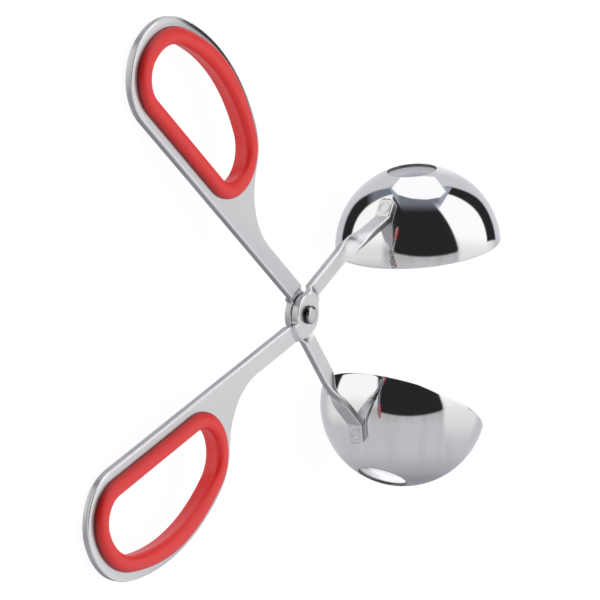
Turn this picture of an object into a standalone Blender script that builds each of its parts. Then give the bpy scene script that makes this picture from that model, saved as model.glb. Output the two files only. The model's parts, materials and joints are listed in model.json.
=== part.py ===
"""Meatball tongs: two stamped steel halves that turn on one rivet, each with a finger loop lined by a
plastic grip at one end and a half-sphere cup at the other.

Metres, +Z up. The tongs lie on a table, opened as far as in the photograph: both cups and both grips
touch z = 0. +X points from the rivet to the cups, +Y to the upper cup, and the hinge axis stands nearly
upright. Both halves are the same stamping; the back half is the front half turned over about X.

Each half is modelled closed, in a frame of its own: the hinge axis is z, the cups' shared rim plane is
y = 0, the half's own cup bulges to +y and its finger loop lies on the -y side.
"""
import math

import bmesh
import bpy
from mathutils import Vector

# Opening of the tongs and gaps between pieces
REST_HALF_OPENING = math.radians(20.7)
FIT_GAP = 0.0003
CLOSED_RIM_GAP = 0.0003

# Cups: parts of a ball, measured outside, a little shallower than half of it
CUP_DIAMETER = 0.045
CUP_DEPTH = 0.02195
CUP_WALL = 0.0008
VENT_DIAMETER = 0.0132
PIVOT_TO_CUP = 0.0616

# Steel strips
STRIP_THICKNESS = 0.0019
EDGE_ROUNDING = 0.0002
DISC_RADIUS = 0.0052
JOGGLE_LENGTH = 0.0018
HANDLE_ANGLE = math.radians(5.84)
HANDLE_JOGGLE_RADIUS = 0.0062
HANDLE_ROOT_FILLET = 0.0006
ARM_ANGLE = math.radians(17.5)
ARM_WIDTH = 0.0043
ARM_INNER_OFFSET = 0.0003
ARM_JOGGLE_RADIUS = 0.0058
ARM_ROOT_FILLET = 0.0015
ARM_REACH = 0.0275
ARM_BEND_RADIUS = 0.025
ARM_STATION_SPACING = 0.0014
TWIST_START = 0.0205
TWIST_LENGTH = 0.0165
PAD_ELEVATION = math.radians(41.4)
PAD_LENGTH = 0.0056
PAD_SIDE_OFFSET = 0.0012
PAD_BEND_RADIUS = 0.0015

# Finger opening: a straight inner side between a front and a rear corner, then a rear arc and a long
# outer arc. Distances run from the hinge along the handle, offsets away from the other handle.
OPENING_INNER_OFFSET = 0.0066
FRONT_CORNER_DISTANCE = 0.0547
FRONT_CORNER_RADIUS = 0.0074
REAR_CORNER_DISTANCE = 0.0883
REAR_CORNER_RADIUS = 0.0057
REAR_ARC_START = math.radians(5.6)
REAR_ARC_RADIUS = 0.0115
OUTER_ARC_RADIUS = 0.0417
NECK_FLARE_DISTANCE = 0.0251
LOOP_RIM_WIDTH = 0.0025

# Grips
GRIP_WIDTH = 0.0039
GRIP_THICKNESS = 0.0048
GRIP_GROOVE_DEPTH = 0.0023
GRIP_HOLLOW = 0.0004
GRIP_ROUNDING_SHARE = 0.85

# Rivet
RIVET_SHANK_DIAMETER = 0.003
RIVET_HEAD_DIAMETER = 0.0047
RIVET_HEAD_HEIGHT = 0.0011
RIVET_HEAD_ROUNDING = 0.0005

# Fineness of the meshes
CUP_SEGMENTS = 56
CUP_RINGS = 10
RIVET_SEGMENTS = 24
CORNER_POINTS = 12
LONG_ARC_POINTS = 15
ROUNDING_POINTS = 3
FILLET_POINTS = 4
WIDTH_STEPS = 4
JOGGLE_STEPS = 4
BEND_STEPS = 5
MERGE_SHARE = 1e-5

# Colours, as linear values
STRIP_STEEL = (0.56, 0.56, 0.58, 1)
CUP_STEEL = (0.66, 0.66, 0.68, 1)
RIVET_STEEL = (0.5, 0.5, 0.52, 1)
GRIP_RED = (0.72, 0.03, 0.03, 1)

# Sizes and counts that follow from the ones above
CUP_RADIUS = CUP_DIAMETER / 2
BALL_RADIUS = (CUP_RADIUS ** 2 + CUP_DEPTH ** 2) / (2 * CUP_DEPTH)
BALL_SETBACK = BALL_RADIUS - CUP_DEPTH
BORE_RADIUS = RIVET_SHANK_DIAMETER / 2 + FIT_GAP
DISC_LIFT = (STRIP_THICKNESS + FIT_GAP) / 2
GRIP_LIP_HEIGHT = STRIP_THICKNESS / 2 + FIT_GAP
GRIP_ROUNDING = (GRIP_THICKNESS / 2 - GRIP_LIP_HEIGHT) * GRIP_ROUNDING_SHARE
LOOP_OUTER_OFFSET = GRIP_WIDTH + LOOP_RIM_WIDTH
HANDLE_INNER_OFFSET = OPENING_INNER_OFFSET - LOOP_OUTER_OFFSET
HANDLE_TURN = math.pi + HANDLE_ANGLE
QUARTER_TURN = math.pi / 2
MIDDLE_OF_LONG_ARC = 2 * CORNER_POINTS + LONG_ARC_POINTS // 2


def clear_scene():
    """Remove every object of the start-up scene."""
    for scene_object in list(bpy.data.objects):
        bpy.data.objects.remove(scene_object, do_unlink=True)


def make_material(name, colour, roughness, metallic):
    """One plain finish."""
    material = bpy.data.materials.new(name)
    material.use_nodes = True
    shader = material.node_tree.nodes["Principled BSDF"]
    shader.inputs["Base Color"].default_value = colour
    shader.inputs["Roughness"].default_value = roughness
    shader.inputs["Metallic"].default_value = metallic
    return material


def smooth_step(t):
    """Blend from 0 to 1 with level ends."""
    t = min(max(t, 0.0), 1.0)
    return t * t * (3 - 2 * t)


def polar(radius, angle):
    """Point at a distance and an angle from the origin."""
    return Vector((radius * math.cos(angle), radius * math.sin(angle)))


def turned(point, angle):
    """Point turned about the origin."""
    c, s = math.cos(angle), math.sin(angle)
    return Vector((point[0] * c - point[1] * s, point[0] * s + point[1] * c))


def arc(centre, radius, start, end, count):
    """Points of an arc about centre, counter-clockwise from one angle to the other."""
    turn = (end - start) % (2 * math.pi)
    return [Vector(centre) + polar(radius, start + turn * i / (count - 1)) for i in range(count)]


# Outlines of the finger loop, in handle coordinates


def front_corner():
    """Centre and radius of the finger opening's corner nearest the hinge."""
    return Vector((FRONT_CORNER_DISTANCE, OPENING_INNER_OFFSET + FRONT_CORNER_RADIUS)), FRONT_CORNER_RADIUS


def long_arc(rear, front):
    """Centre and end angles of the long outer arc, which wraps the rear arc and the front corner."""
    span = front[0] - rear[0]
    to_rear, to_front = OUTER_ARC_RADIUS - rear[1], OUTER_ARC_RADIUS - front[1]
    along = (to_rear ** 2 + span.length_squared - to_front ** 2) / (2 * span.length)
    aside = math.sqrt(to_rear ** 2 - along ** 2)
    direction = span.normalized()
    centre = rear[0] + direction * along + Vector((-direction.y, direction.x)) * aside
    from_centre = (rear[0] - centre, front[0] - centre)
    return centre, [math.atan2(offset.y, offset.x) for offset in from_centre]


def round_the_opening(offset, last_angle):
    """Outline at an offset from the finger opening, from the rear corner's inner end, counter-clockwise
    round the loop, to an angle on the front corner.
    """
    front_centre, front_radius = front_corner()
    rear_centre = Vector((REAR_CORNER_DISTANCE, OPENING_INNER_OFFSET + REAR_CORNER_RADIUS))
    arc_centre = rear_centre - polar(REAR_ARC_RADIUS - REAR_CORNER_RADIUS, REAR_ARC_START)
    long_centre, (long_start, long_end) = long_arc((arc_centre, REAR_ARC_RADIUS), front_corner())
    runs = [
        (rear_centre, REAR_CORNER_RADIUS, -QUARTER_TURN, REAR_ARC_START, CORNER_POINTS),
        (arc_centre, REAR_ARC_RADIUS, REAR_ARC_START, long_start, CORNER_POINTS),
        (long_centre, OUTER_ARC_RADIUS, long_start, long_end, LONG_ARC_POINTS),
        (front_centre, front_radius, long_end, last_angle, CORNER_POINTS),
    ]
    points = []
    for centre, radius, start, end, count in runs:
        points += arc(centre, radius + offset, start, end, count)[1 if points else 0:]
    return points


def opening_outline(offset):
    """The finger opening grown by an offset, as one closed outline."""
    return round_the_opening(offset, -QUARTER_TURN)


def neck_flare():
    """Concave flank between the handle's straight outer edge and the loop: its points from the loop
    inwards, and the angle on the front corner where it starts.
    """
    corner, corner_radius = front_corner()
    loop_radius = corner_radius + LOOP_OUTER_OFFSET
    gap = corner - Vector((NECK_FLARE_DISTANCE, DISC_RADIUS))
    flare_radius = (gap.length_squared - loop_radius ** 2) / (2 * (gap.y + loop_radius))
    centre = Vector((NECK_FLARE_DISTANCE, DISC_RADIUS + flare_radius))
    toward = corner - centre
    meeting = math.atan2(toward.y, toward.x)
    flank = arc(centre, flare_radius, -QUARTER_TURN, meeting, CORNER_POINTS)
    return flank[::-1], meeting + math.pi


# Straight edges that leave the pivot disc


class RootedEdge:
    """A straight edge of an arm or handle with a fillet to the pivot disc.

    The edge runs at an offset from the hinge, in coordinates along and across its arm. Side is 1 where
    the strip lies below the edge, -1 where it lies above.
    """

    def __init__(self, turn, offset, side, fillet):
        self.turn = turn
        self.offset = offset
        self.side = side
        self.fillet = fillet
        self.reach = DISC_RADIUS + fillet
        aside = offset + side * fillet
        self.foot = math.sqrt(max(self.reach ** 2 - aside ** 2, 0))
        self.fillet_angle = math.atan2(aside, self.foot)
        self.straight_radius = math.hypot(self.foot, offset)

    def angle(self, radius):
        """Angle of the edge about the hinge, at a distance from it."""
        if radius >= self.straight_radius:
            return self.turn + math.asin(self.offset / radius)
        cosine = (radius ** 2 + self.reach ** 2 - self.fillet ** 2) / (2 * radius * self.reach)
        return self.turn + self.fillet_angle - self.side * math.acos(min(cosine, 1.0))

    def root_angle(self):
        """Angle at which the edge touches the disc."""
        return self.turn + self.fillet_angle

    def points(self, end_radius):
        """Points from the disc out to a distance from the hinge, both left out."""
        limit = min(self.straight_radius, end_radius)
        shares = [(i / FILLET_POINTS) ** 2 for i in range(1, FILLET_POINTS + 1)]
        radii = [DISC_RADIUS + (limit - DISC_RADIUS) * share for share in shares]
        return [polar(radius, self.angle(radius)) for radius in radii if radius < end_radius]


def across(lower, upper, radius):
    """Points across a strip at one distance from the hinge, from its lower edge to its upper one."""
    start, end = lower.angle(radius), upper.angle(radius)
    return [polar(radius, start + (end - start) * i / WIDTH_STEPS) for i in range(WIDTH_STEPS + 1)]


# The arm's centre line


def pad_line():
    """Start and end of the pad on the strip's middle surface, in the half's frame."""
    outward = Vector((-math.cos(PAD_ELEVATION), math.sin(PAD_ELEVATION)))
    uphill = Vector((math.sin(PAD_ELEVATION), math.cos(PAD_ELEVATION)))
    lift = BALL_RADIUS + FIT_GAP + STRIP_THICKNESS / 2
    middle = Vector((PIVOT_TO_CUP, CLOSED_RIM_GAP / 2 - BALL_SETBACK)) + outward * lift
    return middle - uphill * PAD_LENGTH / 2, middle + uphill * PAD_LENGTH / 2


def stations_between(start, end):
    """Evenly spaced points of a straight run, with its first point and without its last."""
    count = max(round((end - start).length / ARM_STATION_SPACING), 1)
    return [start + (end - start) * i / count for i in range(count)]


def arm_path():
    """Stations along the arm: place, direction angle and distance run from the hinge."""
    middle = ARM_INNER_OFFSET + ARM_WIDTH / 2
    first_along = ARM_JOGGLE_RADIUS + JOGGLE_LENGTH + ARM_STATION_SPACING
    pad_start, pad_end = pad_line()
    corners = [turned((first_along, middle), ARM_ANGLE), turned((ARM_REACH, middle), ARM_ANGLE),
               pad_start, pad_end]
    stations = []
    here = corners[0]
    for corner, after, radius in zip(corners[1:], corners[2:], (ARM_BEND_RADIUS, PAD_BEND_RADIUS)):
        before, following = (corner - here).normalized(), (after - corner).normalized()
        start_angle = math.atan2(before.y, before.x)
        bend = -before.angle_signed(following)
        setback = abs(radius * math.tan(bend / 2))
        bend_start = corner - before * setback
        stations += [(place, start_angle) for place in stations_between(here, bend_start)]
        side = math.copysign(1, bend)
        centre = bend_start + Vector((-before.y, before.x)) * radius * side
        for i in range(BEND_STEPS):
            turn = bend * i / BEND_STEPS
            stations.append((centre + turned(bend_start - centre, turn), start_angle + turn))
        here = corner + following * setback
    last = corners[-1] - corners[-2]
    last_angle = math.atan2(last.y, last.x)
    stations += [(place, last_angle) for place in stations_between(here, corners[-1])]
    stations.append((corners[-1], last_angle))
    distances = [first_along]
    for (previous, _), (place, _) in zip(stations, stations[1:]):
        distances.append(distances[-1] + (place - previous).length)
    return [(place, angle, run) for (place, angle), run in zip(stations, distances)]


def arm_rows():
    """Rows of points across the arm, from its inner edge to its outer one, along twist and pad."""
    rows = []
    for place, angle, run in arm_path():
        blend = smooth_step((run - TWIST_START) / TWIST_LENGTH)
        twist = QUARTER_TURN * blend
        centre = Vector((place.x, place.y, PAD_SIDE_OFFSET * blend))
        left = Vector((-math.sin(angle), math.cos(angle), 0))
        width = left * math.cos(twist) - Vector((0, 0, 1)) * math.sin(twist)
        shares = [i / WIDTH_STEPS - 0.5 for i in range(WIDTH_STEPS + 1)]
        rows.append([centre + width * ARM_WIDTH * share for share in shares])
    return rows


# The strip


def add_row(sheet, points, height=0.0):
    """Vertices at the points, at one height where these are flat."""
    return [sheet.verts.new(p if len(p) == 3 else (p[0], p[1], height)) for p in points]


def join_rows(sheet, first, second):
    """Quads between two rows of vertices."""
    for i in range(len(first) - 1):
        sheet.faces.new((first[i], second[i], second[i + 1], first[i + 1]))


def run_of(ring, start, end):
    """Part of a closed ring of vertices, from one index on to another."""
    count = (end - start) % len(ring)
    return [ring[(start + i) % len(ring)] for i in range(count + 1)]


def fill_ring(sheet, outer, inner, first_cut, second_cut):
    """Two flat faces between an outer and an inner ring, split at two pairs of indices."""
    for (outer_start, inner_start), (outer_end, inner_end) in (
            (first_cut, second_cut), (second_cut, first_cut)):
        hole_side = run_of(inner, inner_start, inner_end)
        sheet.faces.new(run_of(outer, outer_start, outer_end) + hole_side[::-1])


def joggle_rows(sheet, lower, upper, start_radius):
    """Rows across the step from the disc's level to the handle's and arm's; their first is the disc's."""
    rows = []
    for i in range(JOGGLE_STEPS + 1):
        share = i / JOGGLE_STEPS
        row = across(lower, upper, start_radius + JOGGLE_LENGTH * share)
        rows.append(add_row(sheet, row, DISC_LIFT * (1 - smooth_step(share))))
    return rows


def fill_loop(sheet, handle_end):
    """Flat face of neck and finger loop, from the row where the handle's joggle ends."""
    flank, meeting = neck_flare()
    outline = round_the_opening(LOOP_OUTER_OFFSET, meeting)
    inner_front = Vector((FRONT_CORNER_DISTANCE, HANDLE_INNER_OFFSET))
    points = [inner_front] + outline + flank[1:]
    edge = add_row(sheet, [turned(point, HANDLE_TURN) for point in points])
    steel_edge = opening_outline(GRIP_WIDTH - GRIP_GROOVE_DEPTH + FIT_GAP)
    opening = add_row(sheet, [turned(point, HANDLE_TURN) for point in steel_edge])
    outer = edge + handle_end[::-1]
    inner_cut = (0, len(opening) - 1)
    outer_cut = (1 + MIDDLE_OF_LONG_ARC, MIDDLE_OF_LONG_ARC)
    fill_ring(sheet, outer, opening, inner_cut, outer_cut)


def fill_disc(sheet, handle_start, arm_start, handle_edges, arm_edges):
    """Flat face of the pivot disc with its bore."""
    handle_lower, handle_upper = handle_edges
    arm_lower, arm_upper = arm_edges
    right_side = arc((0, 0), DISC_RADIUS, handle_upper.root_angle(), arm_lower.root_angle(), CORNER_POINTS)
    left_side = arc((0, 0), DISC_RADIUS, arm_upper.root_angle(), handle_lower.root_angle(), CORNER_POINTS)
    right = right_side + arm_lower.points(ARM_JOGGLE_RADIUS)
    left = arm_upper.points(ARM_JOGGLE_RADIUS)[::-1] + left_side + handle_lower.points(HANDLE_JOGGLE_RADIUS)
    outer = handle_start + add_row(sheet, right, DISC_LIFT) + arm_start + add_row(sheet, left, DISC_LIFT)
    bore_points = [polar(BORE_RADIUS, 2 * math.pi * i / RIVET_SEGMENTS) for i in range(RIVET_SEGMENTS)]
    bore = add_row(sheet, bore_points, DISC_LIFT)
    cuts = []
    for row in (handle_start, arm_start):
        vertex = row[WIDTH_STEPS // 2]
        angle = math.atan2(vertex.co.y, vertex.co.x)
        cuts.append((outer.index(vertex), round(angle / (2 * math.pi) * RIVET_SEGMENTS) % RIVET_SEGMENTS))
    fill_ring(sheet, outer, bore, *cuts)


def strip_mesh():
    """Middle surface of one stamped half: loop, neck, disc, arm, twist and pad."""
    handle_edges = (RootedEdge(HANDLE_TURN, HANDLE_INNER_OFFSET, -1, HANDLE_ROOT_FILLET),
                    RootedEdge(HANDLE_TURN, DISC_RADIUS, 1, 0))
    arm_edges = (RootedEdge(ARM_ANGLE, ARM_INNER_OFFSET, -1, ARM_ROOT_FILLET),
                 RootedEdge(ARM_ANGLE, ARM_INNER_OFFSET + ARM_WIDTH, 1, ARM_ROOT_FILLET))
    sheet = bmesh.new()
    handle_joggle = joggle_rows(sheet, *handle_edges, HANDLE_JOGGLE_RADIUS)
    arm_joggle = joggle_rows(sheet, *arm_edges, ARM_JOGGLE_RADIUS)
    fill_disc(sheet, handle_joggle[0], arm_joggle[0], handle_edges, arm_edges)
    fill_loop(sheet, handle_joggle[-1])
    arm = [add_row(sheet, row) for row in arm_rows()]
    for rows in (handle_joggle, arm_joggle + arm):
        for first, second in zip(rows, rows[1:]):
            join_rows(sheet, first, second)
    bmesh.ops.recalc_face_normals(sheet, faces=sheet.faces)
    mesh = bpy.data.meshes.new("strip")
    sheet.to_mesh(mesh)
    sheet.free()
    return mesh


def thicken(strip):
    """Give the middle surface its thickness and its broken edges."""
    solidify = strip.modifiers.new("thickness", "SOLIDIFY")
    solidify.thickness = STRIP_THICKNESS
    solidify.offset = 0
    solidify.use_even_offset = True
    solidify.use_quality_normals = True
    bevel = strip.modifiers.new("broken_edges", "BEVEL")
    bevel.width = EDGE_ROUNDING
    bevel.segments = 1
    bevel.limit_method = "ANGLE"
    bevel.angle_limit = math.radians(50)


# Turned and lofted pieces


def lathe(name, profile, segments):
    """Mesh turned about z from a profile of radius and height, bottom to top on its outer side."""
    turned_mesh = bmesh.new()
    ring = [turned_mesh.verts.new((radius, 0, height)) for radius, height in profile]
    edges = [turned_mesh.edges.new(pair) for pair in zip(ring, ring[1:] + ring[:1])]
    bmesh.ops.spin(turned_mesh, geom=ring + edges, cent=(0, 0, 0), axis=(0, 0, 1), angle=2 * math.pi,
                   steps=segments, use_merge=True)
    return closed_mesh(name, turned_mesh)


def closed_mesh(name, solid):
    """Merge what meets, turn the faces outwards and shade the round ones smooth."""
    size = max(vertex.co.length for vertex in solid.verts)
    bmesh.ops.remove_doubles(solid, verts=solid.verts, dist=size * MERGE_SHARE)
    stray = [edge for edge in solid.edges if not edge.link_faces]
    bmesh.ops.delete(solid, geom=stray, context="EDGES")
    bmesh.ops.recalc_face_normals(solid, faces=solid.faces)
    mesh = bpy.data.meshes.new(name)
    solid.to_mesh(mesh)
    solid.free()
    mesh.shade_smooth()
    mesh.set_sharp_from_angle(angle=math.radians(35))
    return mesh


def cup_mesh():
    """Part of a ball with a vent hole at its pole, its rim at height 0."""
    skins = []
    for radius in (BALL_RADIUS, BALL_RADIUS - CUP_WALL):
        rim, pole = math.asin(BALL_SETBACK / radius), math.acos(VENT_DIAMETER / 2 / radius)
        skins.append(arc((0, -BALL_SETBACK), radius, rim, pole, CUP_RINGS))
    outer, inner = skins
    return lathe("cup", outer + inner[::-1], CUP_SEGMENTS)


def rivet_mesh():
    """Shank and two heads, centred on the hinge."""
    shank = RIVET_SHANK_DIAMETER / 2
    head = RIVET_HEAD_DIAMETER / 2
    seat = DISC_LIFT + STRIP_THICKNESS / 2 + FIT_GAP
    top = seat + RIVET_HEAD_HEIGHT
    upper = [(shank, seat), (head, seat), (head, top - RIVET_HEAD_ROUNDING),
             (head - RIVET_HEAD_ROUNDING, top), (0, top)]
    lower = [(radius, -height) for radius, height in upper[::-1]]
    return lathe("rivet", lower + upper, RIVET_SEGMENTS)


def grip_section():
    """Section of the grip: offset from the finger opening and height, with the groove for the steel."""
    level = GRIP_ROUNDING - GRIP_THICKNESS / 2
    inner = arc((GRIP_ROUNDING, level), GRIP_ROUNDING, math.pi, 3 * QUARTER_TURN, ROUNDING_POINTS)
    outer = arc((GRIP_WIDTH - GRIP_ROUNDING, level), GRIP_ROUNDING, 3 * QUARTER_TURN, 0, ROUNDING_POINTS)
    groove = [Vector((GRIP_WIDTH, -GRIP_LIP_HEIGHT)),
              Vector((GRIP_WIDTH - GRIP_GROOVE_DEPTH, -GRIP_LIP_HEIGHT))]
    below = inner + outer + groove
    above = [Vector((point.x, -point.y)) for point in below[::-1]]
    return below + above + [Vector((GRIP_HOLLOW, 0))]


def grip_mesh():
    """Ring that lines the finger opening, lofted round its outline."""
    solid = bmesh.new()
    rings = []
    for offset, height in grip_section():
        outline = opening_outline(offset)
        rings.append(add_row(solid, [turned(point, HANDLE_TURN) for point in outline], height))
    for ring, following in zip(rings, rings[1:] + rings[:1]):
        join_rows(solid, ring + ring[:1], following + following[:1])
    return closed_mesh("grip", solid)


# The tongs


def add_piece(name, mesh, material, parent):
    """One named piece in a half's frame."""
    piece = bpy.data.objects.new(name, mesh)
    bpy.context.scene.collection.objects.link(piece)
    if not mesh.materials:
        mesh.materials.append(material)
    piece.parent = parent
    return piece


def add_frame(name, rotation, parent=None):
    """An empty that turns what is parented to it."""
    frame = bpy.data.objects.new(name, None)
    bpy.context.scene.collection.objects.link(frame)
    frame.rotation_euler = rotation
    frame.parent = parent
    return frame


def lying_tilt():
    """Slope of the tongs' middle plane with both cups and both grips on the table."""
    outline = opening_outline(GRIP_WIDTH - GRIP_ROUNDING)
    rear = max(-turned(point, HANDLE_TURN + REST_HALF_OPENING).x for point in outline)
    length = PIVOT_TO_CUP * math.cos(REST_HALF_OPENING) + rear
    height = GRIP_THICKNESS / 2 - GRIP_ROUNDING
    drop = CUP_RADIUS - GRIP_ROUNDING
    return math.asin(drop / math.hypot(length, height)) - math.atan2(height, length)


def world_box(pieces):
    """Lowest and highest corners of the pieces with their modifiers."""
    bpy.context.view_layer.update()
    graph = bpy.context.evaluated_depsgraph_get()
    corners = []
    for piece in pieces:
        evaluated = piece.evaluated_get(graph)
        mesh = evaluated.to_mesh()
        corners += [evaluated.matrix_world @ vertex.co for vertex in mesh.vertices]
        evaluated.to_mesh_clear()
    low = Vector([min(corner[i] for corner in corners) for i in range(3)])
    high = Vector([max(corner[i] for corner in corners) for i in range(3)])
    return low, high


def build():
    """Make both halves and lay the tongs on the table, centred on the origin."""
    strip_finish = make_material("strip_steel", STRIP_STEEL, 0.32, 1.0)
    cup_finish = make_material("cup_steel", CUP_STEEL, 0.12, 1.0)
    rivet_finish = make_material("rivet_steel", RIVET_STEEL, 0.3, 1.0)
    grip_finish = make_material("grip_red", GRIP_RED, 0.4, 0.0)

    tongs = add_frame("tongs", (0, -lying_tilt(), 0))
    front_half = add_frame("front_half", (0, 0, REST_HALF_OPENING), tongs)
    back_half = add_frame("back_half", (math.pi, 0, -REST_HALF_OPENING), tongs)

    strip, cup, grip = strip_mesh(), cup_mesh(), grip_mesh()
    pieces = []
    for half, strip_name, cup_name, grip_name in (
            (front_half, "front_strip", "upper_cup", "lower_grip"),
            (back_half, "back_strip", "lower_cup", "upper_grip")):
        strip_piece = add_piece(strip_name, strip, strip_finish, half)
        thicken(strip_piece)
        cup_piece = add_piece(cup_name, cup, cup_finish, half)
        cup_piece.location = (PIVOT_TO_CUP, CLOSED_RIM_GAP / 2, 0)
        cup_piece.rotation_euler = (-QUARTER_TURN, 0, 0)
        grip_piece = add_piece(grip_name, grip, grip_finish, half)
        pieces += [strip_piece, cup_piece, grip_piece]
    pieces.append(add_piece("pivot_rivet", rivet_mesh(), rivet_finish, front_half))

    low, high = world_box(pieces)
    tongs.location = (-(low.x + high.x) / 2, -(low.y + high.y) / 2, -low.z)
    bpy.context.view_layer.update()


clear_scene()
build()
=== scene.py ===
"""Dressed meatball tongs in a plain studio.

Two stamped steel halves turn on one rivet. Each carries a polished half-sphere cup and a finger loop
lined by a red plastic grip. Every piece is built again here with finer curves and rolled edges, in the
place of its solid in the frame, and rides on that half's body.
"""
import json
import logging
import math
from dataclasses import dataclass, field
from enum import Enum
from typing import ClassVar, Iterable, Sequence

import bmesh
import bpy
from mathutils import Euler, Matrix, Vector


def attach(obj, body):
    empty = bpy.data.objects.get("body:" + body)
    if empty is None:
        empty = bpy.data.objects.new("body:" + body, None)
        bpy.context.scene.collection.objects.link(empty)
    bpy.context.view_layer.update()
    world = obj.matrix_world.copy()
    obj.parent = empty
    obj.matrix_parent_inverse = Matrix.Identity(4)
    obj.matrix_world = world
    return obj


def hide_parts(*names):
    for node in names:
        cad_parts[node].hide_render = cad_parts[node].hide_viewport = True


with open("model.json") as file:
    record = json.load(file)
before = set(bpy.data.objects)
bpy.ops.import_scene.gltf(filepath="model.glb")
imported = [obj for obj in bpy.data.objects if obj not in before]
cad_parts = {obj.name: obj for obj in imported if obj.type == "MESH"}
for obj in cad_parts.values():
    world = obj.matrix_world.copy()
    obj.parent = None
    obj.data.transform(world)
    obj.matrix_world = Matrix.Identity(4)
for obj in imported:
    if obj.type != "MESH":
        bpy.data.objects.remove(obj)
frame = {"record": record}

logging.basicConfig(level=logging.INFO, format="%(message)s")
log = logging.getLogger("tongs")

QUARTER_TURN = math.pi / 2
FULL_TURN = 2 * math.pi
SAME_PLACE = 1e-6
ROLLED_EDGE = "rolled_edge"
SHEARED_SIDE = "sheared_side"
CROWNED_RIM = "crowned_rim"
# attribute that carries painted shade along seams beside the steel
SEAM_SHADE = "painted_seam_shade"
UPWARDS = Vector((0.0, 0.0, 1.0))
Colour = tuple[float, float, float]


# Small geometry helpers


def polar(radius: float, angle: float) -> Vector:
    """Point at a distance and an angle from the origin."""
    return Vector((radius * math.cos(angle), radius * math.sin(angle)))


def turned(point: Sequence[float], angle: float) -> Vector:
    """Point turned about the origin."""
    c, s = math.cos(angle), math.sin(angle)
    return Vector((point[0] * c - point[1] * s, point[0] * s + point[1] * c))


def smooth_step(t: float) -> float:
    """Blend from 0 to 1 with level ends."""
    t = min(max(t, 0.0), 1.0)
    return t * t * (3 - 2 * t)


def arc(centre: Sequence[float], radius: float, start: float, end: float, count: int) -> list[Vector]:
    """Points of an arc, counter-clockwise.

    Args:
        centre: Centre of the arc.
        radius: Its radius.
        start: Angle of the first point.
        end: Angle of the last point.
        count: Number of points.

    Returns:
        The points in order.
    """
    turn = (end - start) % FULL_TURN
    return [Vector(centre) + polar(radius, start + turn * i / (count - 1)) for i in range(count)]


def linear(red: int, green: int, blue: int) -> Colour:
    """Linear colour of three screen values from 0 to 255."""
    return tuple((value / 255 / 12.92 if value <= 10 else ((value / 255 + 0.055) / 1.055) ** 2.4)
                 for value in (red, green, blue))


# Shader trees


class Field:
    """A number that a shader tree works out. Arithmetic on it adds Math nodes."""

    def __init__(self, tree: bpy.types.NodeTree, socket: bpy.types.NodeSocket) -> None:
        """Wrap an output socket of a tree."""
        self.tree = tree
        self.socket = socket

    def math(self, operation: str, *others: "Field | float") -> "Field":
        """Result of a Math node.

        Args:
            operation: The node's operation.
            others: The second and third operands, as fields or plain numbers.

        Returns:
            The node's output.
        """
        node = self.tree.nodes.new("ShaderNodeMath")
        node.operation = operation
        self.tree.links.new(self.socket, node.inputs[0])
        for place, other in enumerate(others, 1):
            if isinstance(other, Field):
                self.tree.links.new(other.socket, node.inputs[place])
            else:
                node.inputs[place].default_value = other
        return Field(self.tree, node.outputs[0])

    def __add__(self, other: "Field | float") -> "Field":
        """Sum."""
        return self.math("ADD", other)

    def __sub__(self, other: "Field | float") -> "Field":
        """Difference."""
        return self.math("SUBTRACT", other)

    def __mul__(self, other: "Field | float") -> "Field":
        """Product."""
        return self.math("MULTIPLY", other)

    def inverse(self) -> "Field":
        """One minus this."""
        return self.math("MULTIPLY_ADD", -1.0, 1.0)

    def above(self, edge: float, softness: float) -> "Field":
        """1 above an edge and 0 below it, with a soft change between.

        Args:
            edge: Value at the middle of the change.
            softness: Half of the change's width.

        Returns:
            The mask.
        """
        node = self.tree.nodes.new("ShaderNodeMapRange")
        node.interpolation_type = "SMOOTHSTEP"
        node.inputs["From Min"].default_value = edge - softness
        node.inputs["From Max"].default_value = edge + softness
        self.tree.links.new(self.socket, node.inputs["Value"])
        return Field(self.tree, node.outputs["Result"])

    def below(self, edge: float, softness: float) -> "Field":
        """1 below an edge and 0 above it."""
        return self.above(edge, softness).inverse()


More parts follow.
